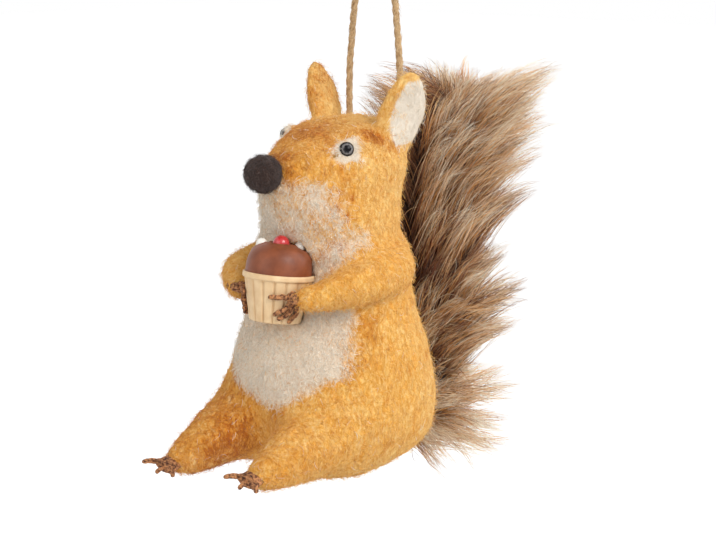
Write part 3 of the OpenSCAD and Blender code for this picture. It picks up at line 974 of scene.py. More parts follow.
@dataclass
class Studio:
    """The camera, the lamps and the pale floor."""

    azimuth: float = 40.0
    elevation: float = 12.0
    distance: float = 0.466
    lens: float = 85.0
    sensor: float = 36.0
    target: tuple = (0.00338, -0.01117, -0.08805)
    floor_z: float = -0.46
    floor_half: float = 6.0
    world_level: float = 0.58
    lamps: tuple = (
        ("key_lamp", 82.0, 36.0, 0.9, 0.5, 0.68),
        ("front_lamp", -8.0, 22.0, 1.0, 0.8, 0.28),
        ("back_lamp", 150.0, 30.0, 1.0, 0.8, 0.36),
    )

    def aimed(
        self, data: bpy.types.ID, azimuth: float, elevation: float, distance: float
    ) -> bpy.types.Object:
        """Stands a camera or lamp round the squirrel and turns it towards the middle.

        Args:
            data: The camera's or lamp's data, whose name it gets.
            azimuth: Its place round the squirrel, from straight in front.
            elevation: Its height above the horizon.
            distance: Its distance in metres.

        Returns:
            The camera or lamp.
        """
        a, e = math.radians(azimuth), math.radians(elevation)
        back = Vector((math.sin(a) * math.cos(e), -math.cos(a) * math.cos(e), math.sin(e)))
        thing = bpy.data.objects.new(data.name, data)
        thing.location = Vector(self.target) + back * distance
        thing.rotation_mode = "QUATERNION"
        thing.rotation_quaternion = (-back).to_track_quat("-Z", "Y")
        bpy.context.scene.collection.objects.link(thing)
        return thing

    def camera(self) -> None:
        """Sets the camera at the photograph's viewing angle."""
        data = bpy.data.cameras.new("camera")
        data.lens = self.lens
        data.sensor_width = self.sensor
        data.clip_start, data.clip_end = 0.01, 20.0
        bpy.context.scene.camera = self.aimed(data, self.azimuth, self.elevation, self.distance)

    def lamp(
        self, name: str, azimuth: float, elevation: float, distance: float, size: float, level: float
    ) -> None:
        """Adds a soft square lamp that looks at the squirrel.

        Args:
            name: The lamp's name.
            azimuth: Its place round the squirrel, as the camera's.
            elevation: Its height above the horizon.
            distance: Its distance in metres.
            size: The length of its side in metres.
            level: The light that it throws on a white surface which faces it.
        """
        data = bpy.data.lights.new(name, "AREA")
        data.size = size
        data.energy = level * math.pi * math.pi * distance * distance
        self.aimed(data, azimuth, elevation, distance)

    def world(self, level: float) -> None:
        """Surrounds the squirrel with white that lights it at a given level.

        Args:
            level: The strength of its light.
        """
        world = bpy.data.worlds.new("white_room")
        world.use_nodes = True
        tree = Tree(world.node_tree)
        strength = tree.math("MULTIPLY_ADD", tree.seen(), 1.0 - level, level)
        sky = tree.add("Background", Color=(1.0, 1.0, 1.0, 1.0), Strength=strength)
        tree.add("OutputWorld", i0=sky.outputs[0])
        bpy.context.scene.world = world

    def floor(self) -> None:
        """Lays a pale floor far below the hanging squirrel."""
        mesh = bpy.data.meshes.new("floor")
        half = self.floor_half
        corners = ((-half, -half), (half, -half), (half, half), (-half, half))
        mesh.from_pydata([(x, y, self.floor_z) for x, y in corners], [], [(0, 1, 2, 3)])
        floor = bpy.data.objects.new("floor", mesh)
        bpy.context.scene.collection.objects.link(floor)
        pale, white = (0.9, 0.9, 0.9, 1.0), (1.0, 1.0, 1.0, 1.0)
        material, tree, shader = finish_of("pale_floor", Base_Color=pale, Roughness=0.9, Emission_Color=white)
        tree.wire(shader, Emission_Strength=tree.math("MULTIPLY", tree.seen(), 0.5))
        mesh.materials.append(material)

    def build(self) -> None:
        """Sets up the whole studio."""
        bpy.context.scene.view_settings.view_transform = "Standard"
        self.camera()
        self.world(self.world_level)
        for lamp in self.lamps:
            self.lamp(*lamp)
        self.floor()


# The twine


@dataclass
class HangingTwine:
    """The loop of jute twine and the knot that closes it inside the head."""

    ply_radius: float = 0.56
    ply_out: float = 0.42
    plies: int = 3
    pitch: float = 9.0
    diameter: float = 2.0
    ply_sides: int = 8
    stray_count: int = 520
    free_z: float = 96.0
    half_route: tuple = (
        (1.5, 0, -54), (3.5, 0, -54), (5, 0, -54), (6.5, 0, -53.7), (7.8, 0, -52.8),
        (8.7, 0, -51.5), (9, 0, -50), (9, 0, -45), (9.1, 0, -39), (8.9, 0, -33),
        (8.4, 0, -27), (7.8, 0, -21), (7, 0, -15), (6, 0, -10), (4.9, 0, -6),
        (4.2, 0, -3.5), (3.6, 0, -1.5), (2.5, 0, 0.1), (1.2, 0, 0.8), (0, 0, 1),
    )

    def route(self) -> Array:
        """The loop's middle line from one end in the knot to the other, in millimetres.

        Returns:
            The line's points.
        """
        half = np.array(self.half_route, float)
        back = half[-2::-1] * [-1, 1, 1]
        return np.vstack([half, back]) + HANG_POINT

    def ply_paths(self, route: Array) -> list[Array]:
        """The middle lines of the plies, twisted round the route.

        Args:
            route: The loop's middle line.

        Returns:
            A path for each ply.
        """
        fine = eased(route, 8)
        fine[:, 1] += 0.16 * noise(fine, 7, 35)
        run = run_along(fine)
        heading = unit(np.gradient(fine, axis=0))
        side = np.tile([0.0, 1.0, 0.0], (len(fine), 1))
        other = np.cross(heading, side)
        paths = []
        for ply in range(self.plies):
            angle = 2 * np.pi * (run / self.pitch + ply / self.plies)
            loose = 1 + 0.14 * noise(fine, 4, 31 + ply)
            out = self.ply_out * loose[:, None]
            paths.append(fine + out * (side * np.cos(angle)[:, None] + other * np.sin(angle)[:, None]))
        return paths

    def stray_fibres(self, route: Array, rng: Rng) -> Shell:
        """Short fibres that stand off the twine above the head.

        Args:
            route: The loop's middle line.
            rng: The source of chance.

        Returns:
            All fibres as one shell.
        """
        fine = eased(route, 8)
        free = fine[fine[:, 2] > self.free_z]
        heading = unit(np.gradient(free, axis=0))
        count = self.stray_count
        pick = rng.integers(1, len(free) - 1, count)
        out = rng.normal(size=(count, 3))
        out = unit(out - heading[pick] * (out * heading[pick]).sum(1)[:, None])
        along = heading[pick] * rng.choice([-1, 1], count)[:, None]
        reach = rng.uniform(0.3, 1.5, count)[:, None] * rng.uniform(0.4, 1, count)[:, None]
        steps = np.linspace(0, 1, 5)[None, :, None]
        curl = rng.normal(size=(count, 1, 3)) * 0.25
        paths = free[pick][:, None] + out[:, None] * (0.75 + reach[:, None] * steps * 0.55)
        paths = paths + along[:, None] * steps * 2.2 * reach[:, None] + curl * steps**2
        widths = np.tile(np.array([0.07, 0.06, 0.045, 0.03]), (count, 1))
        return strands(paths, widths, rng.uniform(0, 1, count), rng)

    def build(self, twine: Material, fibre: Material) -> None:
        """Makes the loop, its stray fibres and its knot.

        Args:
            twine: The twisted twine's finish.
            fibre: The stray fibres' finish.
        """
        rng = np.random.default_rng(5)
        route = self.route()
        plies, sides = [], self.ply_sides
        for path in self.ply_paths(route):
            spots = np.repeat(path, sides, 0) + np.tile(np.arange(sides), len(path))[:, None] * 3.1
            rough = (1 + 0.12 * noise(spots, 0.8, 7)).reshape(len(path), sides)
            plies.append(swept(path, self.ply_radius * rough, sides, (0.0, 1.0, 0.0)))
        on = Body.HANGER
        loop = made("twine_loop", merged(plies), twine, "hanging_twine", on)
        fuzz = made("twine_fibres", self.stray_fibres(route, rng), fibre, body=on)
        knot = made("twine_knot_wound", self.knot(), twine, "twine_knot", on)

    def knot(self) -> Shell:
        """A small overhand knot on the swing's axis.

        Returns:
            The knot's skin.
        """
        t = np.linspace(0, 2 * np.pi, 73)[:-1]
        y, z = np.sin(t) + 2 * np.sin(2 * t), np.cos(t) - 2 * np.cos(2 * t)
        line = np.stack([np.sin(3 * t) * 0.55, y * 0.42, z * 0.42], 1)
        line = np.vstack([line, line[:2]]) + [0, TWINE_Y, SWING_Z]
        return swept(line, np.full(len(line), 0.82), 10, (1.0, 0.3, 0.2))


# The cupcake


@dataclass
class Cupcake:
    """The fluted cup, its chocolate top, the cherry and the pearls."""

    place: tuple = (2.0, -29.64, 46.4)
    lean: float = 8.0
    rim_radius: float = 9.2
    foot_radius: float = 6.8
    height: float = 12.8
    band: float = 1.5
    flutes: int = 17
    flute_columns: int = 14
    dome_radius: float = 8.8
    dome_sink: float = 0.8
    dome_power: float = 2.7
    cherry_radius: float = 2.2
    pearl_radius: float = 1.5
    pearl_turns: tuple = (205.0, 60.0)
    pearl_out: float = 0.6

    def out(self, points: Array) -> Array:
        """Points of the upright cup, at the cup's place."""
        return turned(points, -self.lean, 0) + np.array(self.place)

    def own(self, points: Array) -> Array:
        """Points in the upright cup's own measure."""
        return turned(points - np.array(self.place), self.lean, 0)

    def radius(self, height: Array) -> Array:
        """The cup's radius at a height above its foot."""
        return self.foot_radius + (self.rim_radius - self.foot_radius) * height / self.height

    def wrist(self, side: Side) -> tuple[float, float, float]:
        """Where the wrist beside the cup is, with X counted outwards.

        Args:
            side: Which wrist.

        Returns:
            The place.
        """
        a = math.radians(15.0)
        out = self.rim_radius + 1.87
        x, y, z = self.place
        return (side.value * x + out * math.cos(a), y - out * math.sin(a), z + 0.62 * self.height)

    def balls(self) -> list[tuple[Array, float]]:
        """The middles and radii of the cherry and the pearls, on the upright cup.

        Returns:
            A middle and a radius for each, the cherry first.
        """
        base = self.height - self.dome_sink
        found = [(np.array([0, 0, base + self.dome_radius - self.cherry_radius * 0.16]), self.cherry_radius)]
        lift = (1 - self.pearl_out**self.dome_power) ** (1 / self.dome_power) * self.dome_radius
        reach = self.pearl_out * self.dome_radius
        for a in map(math.radians, self.pearl_turns):
            middle = np.array([math.cos(a) * reach, math.sin(a) * reach, base + lift])
            found.append((middle, self.pearl_radius))
        return found

    def distance(self, points: Array) -> Array:
        """How far points are outside the whole cupcake.

        Args:
            points: The points.

        Returns:
            Their distances.
        """
        own = self.own(points)
        out = np.hypot(own[..., 0], own[..., 1])
        z = own[..., 2]
        wall = out - self.radius(np.clip(z, 0, self.height)) - 0.15
        wall = np.maximum(wall, np.maximum(z - self.height, -z))
        rise = np.maximum(z - self.height + self.dome_sink, 0)
        power = self.dome_power
        dome = (out**power + rise**power) ** (1 / power) - self.dome_radius
        best = np.minimum(wall, np.maximum(dome, self.height - self.dome_sink - z))
        for middle, radius in self.balls():
            best = np.minimum(best, np.linalg.norm(own - middle, axis=-1) - radius)
        return best

    def case(self) -> Shell:
        """The cup, with flat flutes, a rounded band and a mouth for the chocolate.

        Returns:
            The closed cup.
        """
        columns = self.flutes * self.flute_columns
        turn = around(columns)
        phase = (np.arange(columns) % self.flute_columns) / self.flute_columns
        groove = np.clip(1 - np.abs(phase - 0.5) / 0.13, 0, 1)
        wide = self.height - self.band
        profile = [(0.0, 0.35, 0.0), (0.0, 0.92, 0.0), (0.12, 0.985, 0.5), (0.5, 1.0, 1.0)]
        profile += [(z, 1.0, 1.0) for z in np.linspace(1.2, wide - 0.5, 9)]
        profile += [(wide - 0.12, 1.0, 0.6)]
        rows = [(z, self.radius(z) * share - 0.6 * depth * groove**0.7) for z, share, depth in profile]
        rim, top = self.rim_radius + 0.25, self.height
        rows += [
            (wide, rim - 0.22), (wide + 0.12, rim - 0.03), (wide + 0.4, rim), (wide + 1.0, rim),
            (wide + 1.36, rim - 0.06), (top, rim - 0.26), (top, rim - 0.55), (top - 0.25, 8.75),
            (top - 0.8, 8.7), (top - 0.8, 4.0),
        ]
        rings = np.array(
            [np.stack([r * np.cos(turn), r * np.sin(turn), np.full(columns, z)], 1) for z, r in rows]
        )
        wobble = noise(rings.reshape(-1, 3), 6, 3).reshape(rings.shape[:2])
        rings[..., :2] *= (1 + 0.004 * wobble)[..., None]
        return skinned(self.out(rings))

    def top(self) -> Shell:
        """The chocolate dome, a little uneven, with a dimple under each ball.

        Returns:
            The closed dome.
        """
        rows, columns = 44, 96
        flat = ways(np.linspace(0, np.pi / 2, rows)[::-1], columns).reshape(-1, 3)
        power = self.dome_power + 0.3
        full = (np.hypot(flat[:, 0], flat[:, 1]) ** power + np.abs(flat[:, 2]) ** power) ** (-1 / power)
        uneven = 1 + 0.012 * noise(flat, 0.6, 12) + 0.005 * noise(flat, 0.25, 13)
        radius = self.dome_radius * full * uneven
        base = self.height - self.dome_sink
        points = flat * radius[:, None] + [0, 0, base]
        for middle, size in self.balls():
            away = np.linalg.norm(points - middle, axis=1)
            points -= flat * (np.clip(1 - away / (size * 1.9), 0, 1) * size * 0.62)[:, None]
            points += flat * (0.2 * np.exp(-(((away - size * 1.75) / 0.5) ** 2)))[:, None]
        pressed = np.linalg.norm(points - (self.balls()[2][0] + [1.5, -1.6, -0.6]), axis=1)
        points -= flat * (0.95 * np.exp(-((pressed / 1.9) ** 2)))[:, None]
        rings = points.reshape(rows, columns, 3)[:-1]
        inner = rings[:1] * [0.9, 0.9, 1.0]
        return skinned(self.out(np.concatenate([inner, rings])))

    def ball(self, middle: Array, radius: float, uneven: float, seed: int) -> Shell:
        """A slightly uneven ball on the upright cup.

        Args:
            middle: Its middle.
            radius: Its radius.
            uneven: How uneven it is.
            seed: The noise's seed.

        Returns:
            The ball's skin.
        """
        way = ball_ways(26, 36)
        size = radius * (1 + uneven * noise(way.reshape(-1, 3), 0.7, seed).reshape(way.shape[:2]))
        return skinned(self.out(middle + way * size[..., None]))

    def build(self, finishes: dict[str, Material]) -> None:
        """Makes the four pieces.

        Args:
            finishes: The finishes by name: cream, chocolate, cherry and pearl.
        """
        cherry, *pearls = self.balls()
        white = merged([self.ball(*p, 0.03, 8 + i) for i, p in enumerate(pearls)])
        made("cupcake_cup", self.case(), finishes["cream"], "cupcake_case")
        made("cupcake_dome", self.top(), finishes["chocolate"], "cupcake_top")
        made("cherry_bead", self.ball(*cherry, 0.015, 4), finishes["cherry"], "cherry")
        made("sugar_pearls", white, finishes["pearl"], "pearls")


# The wool


@dataclass
class FeltedBody:
    """The felted forms, joined smoothly and then parted into the squirrel's pieces."""

    cupcake: Cupcake
    voxel: float = 0.75
    body: tuple = (54.0, 57.0, 67.0)
    head: tuple = (32.0, 47.0, 40.5)
    head_foot: float = 57.0
    ears: dict = field(default_factory=lambda: {side: Ear(side) for side in Side})
    throat: tuple = (
        (0, 81.6), (5.2, 83.5), (6.9, 83.8), (8.6, 83.6), (10.2, 83), (11.6, 81.4), (12.6, 79.6),
        (13.4, 76.5), (14.2, 73.4), (15.2, 70.6), (16.6, 69.6), (18, 67.2), (17.2, 63.8), (15.2, 61),
        (12, 58), (0, 56), (-12, 58), (-15.2, 61), (-17.2, 63.8), (-18, 67.2), (-15.4, 71),
        (-14.2, 74.5), (-13, 78), (-11, 81.6), (-8, 83.6), (-5.2, 83.5),
    )
    belly: tuple = (
        (0, 60), (17, 58), (18.6, 50), (18.9, 45.7), (19.6, 41.8), (20.2, 38.1), (20.4, 34.4), (19.9, 32.6),
        (17.6, 31.2), (13.9, 29.4), (10.6, 27.4), (6.8, 24.4), (3, 23.6), (-3, 24.6), (-8, 27),
        (-13, 29.5), (-17.5, 31.5), (-19.8, 34), (-20, 40), (-18.6, 48), (-17, 58),
    )
    # Spots of deeper orange. The brow streaks and the cheek and neck speckles are darker wool; the spots
    # round the nose's base, in the lap, under the arms and on the forehead are partly painted shade.
    deep_spots: tuple = (
        (11.4, -5, 94.6, 2.4, 0.45), (13, -2.4, 93.6, 2.5, 0.55), (14.4, 0.6, 92, 2.8, 0.55),
        (14.8, 4.6, 90.8, 2.6, 0.5), (4.6, -26.5, 86.5, 2.8, 0.45), (5, -27.5, 82.8, 2.4, 0.35),
        (2, -25, 89.5, 3, 0.45), (12.4, -14.8, 85.6, 1, 0.6), (13.2, -14.3, 83, 1, 0.7),
        (12.8, -16.4, 80.4, 1.1, 0.7), (14.4, -12.7, 78.4, 1.1, 0.7), (12.9, -17.4, 76.4, 1.2, 0.8),
        (14.5, -14.8, 74, 1.1, 0.8), (13.6, -18.4, 66, 2, 0.85), (15.6, -16.6, 66.6, 1.5, 0.8),
        (11.3, -21.5, 62.8, 2.2, 0.7), (7, -32, 18, 7, 0.2), (12, -27, 26, 5, 0.2),
        (21.5, -14, 44, 3.6, 0.35), (21.8, -16, 37, 3.6, 0.3), (8, -40, 12, 6, 0.2),
        (16, -20, 12, 5, 0.15), (4, -14, 96, 10, 0.34),
    )
    eye_patch: tuple = (
        (10.2, 93.5), (11.3, 93.7), (12.9, 91.6), (14.7, 87.3), (13.2, 87.7), (12.2, 86.8), (11.6, 87.8),
        (10.4, 89), (9.4, 90.6), (9.3, 92.4),
    )
    lid: tuple = (-9.5, -9.9, 92.9)  # a swell of wool behind the right eye
    lid_radius: float = 2.35
    slot_x: float = 9.0
    slot_half: float = 1.35
    slot_leans: tuple = (22.0, 11.0)  # in degrees, to the front and to the back
    gold_fibres: float = 2.3  # for each square millimetre
    white_fibres: float = 5.5
    most_fibres: int = 9000

    def __post_init__(self) -> None:
        """Makes the forms."""
        wide, deep, tall = self.body
        torso = [
            (0, -0.02, 0, 0), (0.022, -0.02, 0.45, 0.46), (0.09, -0.02, 0.78, 0.79),
            (0.18, -0.03, 0.94, 0.95), (0.33, -0.055, 1, 1.01), (0.48, -0.07, 0.97, 0.98),
            (0.63, -0.075, 0.87, 0.86), (0.80, -0.07, 0.765, 0.69), (0.92, -0.07, 0.64, 0.58),
            (0.985, -0.07, 0.33, 0.32), (1, -0.07, 0, 0),
        ]
        self.forms = {
            "torso": Upright([[r[0] * tall, r[1] * deep, r[2] * wide / 2, r[3] * deep / 2, 0] for r in torso])
        }
        wide, deep, tall = self.head
        head = [
            (-0.3, -0.085, 0, 0, 0), (-0.22, -0.085, 0.8, 0.6, 0), (-0.05, -0.085, 1.08, 0.76, 0),
            (0.09, -0.085, 1.13, 0.8, 0), (0.21, -0.095, 1.11, 0.84, 0), (0.36, -0.105, 1.07, 0.89, 0.05),
            (0.51, -0.115, 1.01, 0.965, 0.15),
            (0.67, -0.12, 0.99, 1, 0.32), (0.79, -0.08, 0.96, 0.9, 0.26), (0.89, -0.015, 0.85, 0.71, 0.12),
            (0.965, 0.04, 0.6, 0.46, 0), (1, 0.06, 0, 0, 0),
        ]
        foot = self.head_foot
        self.forms["head"] = Upright(
            [[foot + r[0] * tall, r[1] * deep, r[2] * wide / 2, r[3] * deep / 2, r[4]] for r in head]
        )
        for side in Side:
            self.forms[f"leg_{side.word}"] = self.leg(side)
            self.forms[f"arm_{side.word}"] = self.arm(side)
            self.forms[f"ear_{side.word}"] = self.ears[side]

    def leg(self, side: Side) -> Limb:
        """One leg, from the haunch to the ankle.

        Args:
            side: The side that it is on.

        Returns:
            The leg's form.
        """
        ankle = 12.0 if side is Side.LEFT else 9.6
        shares = [
            (10.8, -3.9, 0.89, 0), (11.85, -8, 1, 10.5), (13.2, -17, 1, 12.5), (14, -28.4, 0.7, 9.6),
            (14.7, -38.7, 0.3, 6.75), (15, -46.5, 0.044, 4.7), (15, -49.5, 0, 3), (15, -50, 0, 0),
        ]
        return Limb([[side.value * x, y, ankle + up * (16.5 - ankle), radius] for x, y, up, radius in shares])

    def arm(self, side: Side) -> Limb:
        """One arm, from the shoulder to the wrist.

        Args:
            side: The side that it is on.

        Returns:
            The arm's form.
        """
        x, y, z = self.cupcake.wrist(side)
        rows = [
            (10.55, 6, 57.5, 0), (13.5, 4, 57.5, 5.5), (18.1, -2, 57.5, 6.4), (20, -11, 56.7, 5.65),
            (18.6, -21, 55.6, 4.75), (x + 2.4, y + 3.6, z, 3.5), (x + 1.2, y + 1.6, z, 2.45),
            (x + 0.8, y + 1.0, z, 0),
        ]
        return Limb([[side.value * r[0], *r[1:]] for r in rows])

    def strand_slot(self, points: Array) -> Array:
        """How far points are outside the slots that the twine leans in.

        Args:
            points: The points.

        Returns:
            Their distances.
        """
        above = points[..., 2] - SWING_Z
        beside = np.abs(np.abs(points[..., 0]) - self.slot_x) - self.slot_half
        front, behind = (
            way * (TWINE_Y - points[..., 1])
            - np.maximum(above, 0) * math.tan(math.radians(lean))
            - self.slot_half
            for way, lean in zip((1, -1), self.slot_leans)
        )
        return np.maximum.reduce([beside, front, behind, -above - 1.3])

    def distance(self, points: Array) -> Array:
        """How far points are outside the joined wool.

        Args:
            points: The points.

        Returns:
            Their distances.
        """
        whole = smooth_union(self.forms["torso"].distance(points), self.forms["head"].distance(points), 9.0)
        for kind, reach in (("leg", 7.0), ("arm", 3.0), ("ear", 3.0)):
            for side in Side:
                form = self.forms[f"{kind}_{side.word}"]
                whole = smooth_union(whole, form.distance(points), reach)
        lid = np.linalg.norm(points - np.array(self.lid), axis=-1) - self.lid_radius
        whole = smooth_union(whole, lid, 1.2)
        whole = smooth_cut(whole, self.cupcake.distance(points) - 0.15, 0.8)
        return smooth_cut(whole, self.strand_slot(points), 0.6)

    def surface(self) -> tuple[Array, Array]:
        """The joined wool's surface, lumpy as felt is.

        Returns:
            Its points and its four-cornered faces.
        """
        low, high = np.array([-32.0, -56.0, -3.0]), np.array([32.0, 31.0, 113.0])
        counts = np.ceil((high - low) / self.voxel).astype(int) + 1
        axes = [low[i] + self.voxel * np.arange(counts[i]) for i in range(3)]
        values = np.empty(tuple(counts), np.float32)
        layers = 16
        for start in range(0, counts[2], layers):
            heights = axes[2][start : start + layers]
            block = np.stack(np.meshgrid(axes[0], axes[1], heights, indexing="ij"), -1)
            values[:, :, start : start + layers] = self.distance(block)
        points, faces = surface_net(values, low, self.voxel)
        normal = np.zeros_like(points)
        flat = face_normals(points, faces)
        for corner in range(4):
            np.add.at(normal, faces[:, corner], flat)
        normal = unit(normal)
        lumps = 0.34 * noise(points, 7.5, 1) + 0.17 * noise(points, 3, 2)
        lumps = lumps + 0.07 * noise(points, 1.3, 3)
        calm = blend_step(0.2, 1.6, self.cupcake.distance(points))
        return points + normal * (lumps * calm)[:, None], faces

    def white(self, points: Array) -> Array:
        """How white the wool is, from 0 to 1.

        Args:
            points: The points.

        Returns:
            Their shares.
        """
        drift = np.stack([noise(points, 3.5, seed) for seed in (21, 22)], 1)
        plane = points[:, [0, 2]] + 0.9 * drift
        front = blend_step(-6, -9.5, points[:, 1])
        throat = blend_step(-2.6, 2.2, outline_depth(plane, self.throat)) * front
        mixed = 0.62 + 0.38 * blend_step(3, -5, points[:, 0] + 2.5 * noise(points, 4, 23))
        mixed = mixed + 0.2 * noise(points, 3, 24) + 0.12 * noise(points, 1.2, 26)
        belly = blend_step(-2.4, 2.4, outline_depth(plane, self.belly))
        belly = belly * blend_step(-11, -14, points[:, 1])
        belly = belly * (0.84 + 0.16 * noise(points, 3.5, 25))
        free = 1.0
        for kind, reach in (("arm", 1.4), ("leg", 1.8)):
            away = [self.forms[f"{kind}_{side.word}"].distance(points) for side in Side]
            free = free * blend_step(0.2, reach, np.minimum(*away))
        white = np.maximum(throat * np.clip(mixed, 0, 1), belly) * free
        return np.maximum.reduce([white, self.ear_white(points), self.eye_white(points)])

    def ear_white(self, points: Array) -> Array:
        """How much a point is in the white lining of an ear."""
        return np.maximum(*(blend_step(-0.5, 0.9, ear.lining(points)) for ear in self.ears.values()))

    def eye_white(self, points: Array) -> Array:
        """How much a point is in the white wool round an eye.

        Args:
            points: The points.

        Returns:
            A share from 0 to 1 for each point.
        """
        x, y, z = points.T
        right = x < 0
        plane = np.stack([np.where(right, 1.2 - x, x), z - 2.0 * right], 1)
        return blend_step(-0.5, 0.6, outline_depth(plane, self.eye_patch)) * blend_step(-5.5, -7, y)

    def deep(self, points: Array) -> Array:
        """How deep the wool's orange is, from 0 to 1: deeper wool, with painted shade added round the nose's
        base, in the lap, under the arms, on the far leg and on the far side of the head.

        Args:
            points: The points.

        Returns:
            Their shares.
        """
        deep = 0.12 + 0.12 * noise(points, 5, 41) + 0.14 * noise(points, 1.4, 42)
        for x, y, z, radius, strength in self.deep_spots:
            for side in Side:
                away = np.linalg.norm(points - np.array([side.value * x, y, z]), axis=1) / radius
                deep = deep + strength * np.exp(-away * away)
        x, y, z = points.T
        # Painted shade in the crease between the legs.
        between = blend_step(14, 4, np.abs(x)) * blend_step(-24, -34, y)
        deep = deep + 0.06 * between * blend_step(30, 18, z)
        # Deeper orange on the far (right) leg, partly painted shade on its shaded side.
        far_leg = blend_step(2, -6, x) * blend_step(-20, -32, y)
        deep = deep + 0.26 * far_leg * blend_step(34, 24, z)
        deep = deep + 0.14 * blend_step(-26, -38, y)
        # Painted shade on the right ear and the right of the crown, the side away from the key lamp.
        deep = deep + 0.25 * blend_step(-8, -10.5, x) * blend_step(97, 101, z)
        return np.clip(deep, 0, 1)

    def pale(self, points: Array) -> Array:
        """How pale the wool's gold is, from 0 to 1: paler towards the back, low down and on the lower cheeks;
        on the back and cheeks this is partly painted light.

        Args:
            points: The points.

        Returns:
            A share from 0 to 1 for each point.
        """
        y, z = points[:, 1], points[:, 2]
        # The back and the lower cheeks are paler, partly painted light; the bottom is paler too.
        back, low = blend_step(-4, 18, y), blend_step(12, 4, z)
        cheek = blend_step(62, 70, z) * blend_step(-18, -4, y)
        pale = 0.3 + 0.5 * back + 0.3 * low + 0.35 * cheek + 0.15 * noise(points, 6, 51)
        return np.maximum(np.clip(pale, 0, 1), self.ear_white(points))

    def owners(self, points: Array) -> Array:
        """The number of the piece that each point of the surface belongs to.

        Args:
            points: The points.

        Returns:
            Numbers in the order of piece_names.
        """
        owner = np.stack([form.distance(points) for form in self.forms.values()], 1).argmin(1)
        names = list(self.forms)
        torso, head = names.index("torso"), names.index("head")
        plane = points[:, [0, 2]]
        in_belly = (outline_depth(plane, self.belly) > 0) & (points[:, 1] < -12)
        in_throat = (outline_depth(plane, self.throat) > 0) & (points[:, 1] < -8)
        white = len(names)
        owner[(owner == torso) & (in_belly | in_throat)] = white
        owner[(owner == head) & in_throat] = white + 1
        eyed = self.eye_white(points) > 0.5
        for step, side in enumerate(Side):
            owner[eyed & (owner == head) & (points[:, 0] * side.value > 0)] = white + 2 + step
            ear = names.index(f"ear_{side.word}")
            owner[(owner == ear) & (self.ears[side].lining(points) > 0)] = white + 4 + step
        return owner

    def piece_names(self) -> list[str]:
        """The CAD nodes that the owners' numbers stand for.

        Returns:
            The names, in the numbers' order.
        """
        sides = [side.word for side in Side]
        paired = [f"{kind}_{side}" for kind in ("eye_patch", "ear_lining") for side in sides]
        return [*self.forms, "belly_patch", "throat_patch", *paired]

    def build(self, wool: Material, fibre: Material) -> None:
        """Makes one piece for each felted node, and the loose fibres on them.

        Args:
            wool: The felt's finish.
            fibre: The loose fibres' finish.
        """
        points, faces = self.surface()
        # The deep layer holds painted shade and the pale layer partly painted light, besides the wool's own
        # colours.
        layers = {"white": self.white(points), "deep": self.deep(points), "pale": self.pale(points)}
        owner = tidy_owners(faces, self.owners(points[faces].mean(1)), len(points))
        for number, node in enumerate(self.piece_names()):
            part = faces[owner == number]
            used, corner = np.unique(part, return_inverse=True)
            capped, extra = closed(Shell(points[used], [corner.reshape(part.shape)]))
            piece = made(f"{node}_wool", capped, wool)
            for key, values in layers.items():
                layer = piece.data.attributes.new(key, "FLOAT", "POINT")
                own = np.concatenate([values[used], np.full(extra, values[used].mean())])
                layer.data.foreach_set("value", own.astype(np.float32))
            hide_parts(node)
        self.fibres(points, faces, owner, layers, fibre)

    def fibres(self, points: Array, faces: Array, owner: Array, layers: dict, fibre: Material) -> None:
        """Lays loose fibres on the wool, a piece of fibres for each part of the body.

        Args:
            points: The surface's points.
            faces: Its faces.
            owner: The piece that each face belongs to.
            layers: The colour layers on the points.
            fibre: The fibres' finish.
        """
        rng = np.random.default_rng(11)
        normal = face_normals(points, faces)
        area = np.linalg.norm(normal, axis=1) / 2
        normal = unit(normal)
        middle = points[faces].mean(1)
        bare = (self.cupcake.distance(middle) < 1.2) | (self.strand_slot(middle) < 3.2)
        chance = np.where(bare, 0, area)
        groups = {
            "torso": "torso", "belly": "belly", "throat": "throat", "head": ("head", "eye_patch"),
            "arms": "arm", "legs": "leg", "ears": "ear",
        }
        for group, starts in groups.items():
            members = [k for k, node in enumerate(self.piece_names()) if node.startswith(starts)]
            weight = chance * np.isin(owner, members)
            white = group in ("belly", "throat")
            density = self.white_fibres if white else self.gold_fibres
            count = int(min(weight.sum() * density, self.most_fibres))
            face = rng.choice(len(faces), count, p=weight / weight.sum())
            mix = rng.dirichlet(np.ones(4), count)
            start = (points[faces[face]] * mix[..., None]).sum(1)
            paths, widths = fibre_paths(start, normal[face], rng)
            values = {key: (layer[faces[face]] * mix).sum(1) for key, layer in layers.items()}
            tone = fibre_tone(values, rng)
            made(f"{group}_fibres", strands(paths, widths, tone, rng), fibre)


def fibre_paths(start: Array, up: Array, rng: Rng) -> tuple[Array, Array]:
    """Curled fibres that lie on the wool or stand a little off it.

    Args:
        start: Where each fibre leaves the wool.
        up: The wool's normal there.
        rng: The source of chance.

    Returns:
        The fibres' paths of five points, and their radii at the first four.
    """
    count = len(start)
    flow = np.array([0.0, 0.25, -1.0]) + rng.normal(size=(count, 3)) * 0.9
    along = unit(flow - up * (flow * up).sum(1)[:, None])
    across = np.cross(up, along)
    length = rng.uniform(1.2, 3.6, count)
    halo = rng.uniform(size=count) < 0.2
    rise = np.where(halo, rng.uniform(0.4, 1.35, count), rng.uniform(0.06, 0.26, count))
    length = np.where(halo, length * 0.7, length)
    curl = rng.normal(size=count) * 0.55
    step = np.linspace(0, 1, 5)[None, :]
    lift = np.sin(step * np.pi * rng.uniform(0.55, 0.95, count)[:, None]) * rise[:, None]
    side = curl[:, None] * np.sin(step * np.pi * rng.uniform(0.6, 1.6, count)[:, None])
    run = length[:, None] * step
    paths = start[:, None] + along[:, None] * run[..., None] + across[:, None] * side[..., None]
    paths = paths + up[:, None] * (lift - 0.1)[..., None]
    width = rng.uniform(0.028, 0.055, count)[:, None] * np.array([[1.0, 1.0, 0.9, 0.65]])
    return paths, width


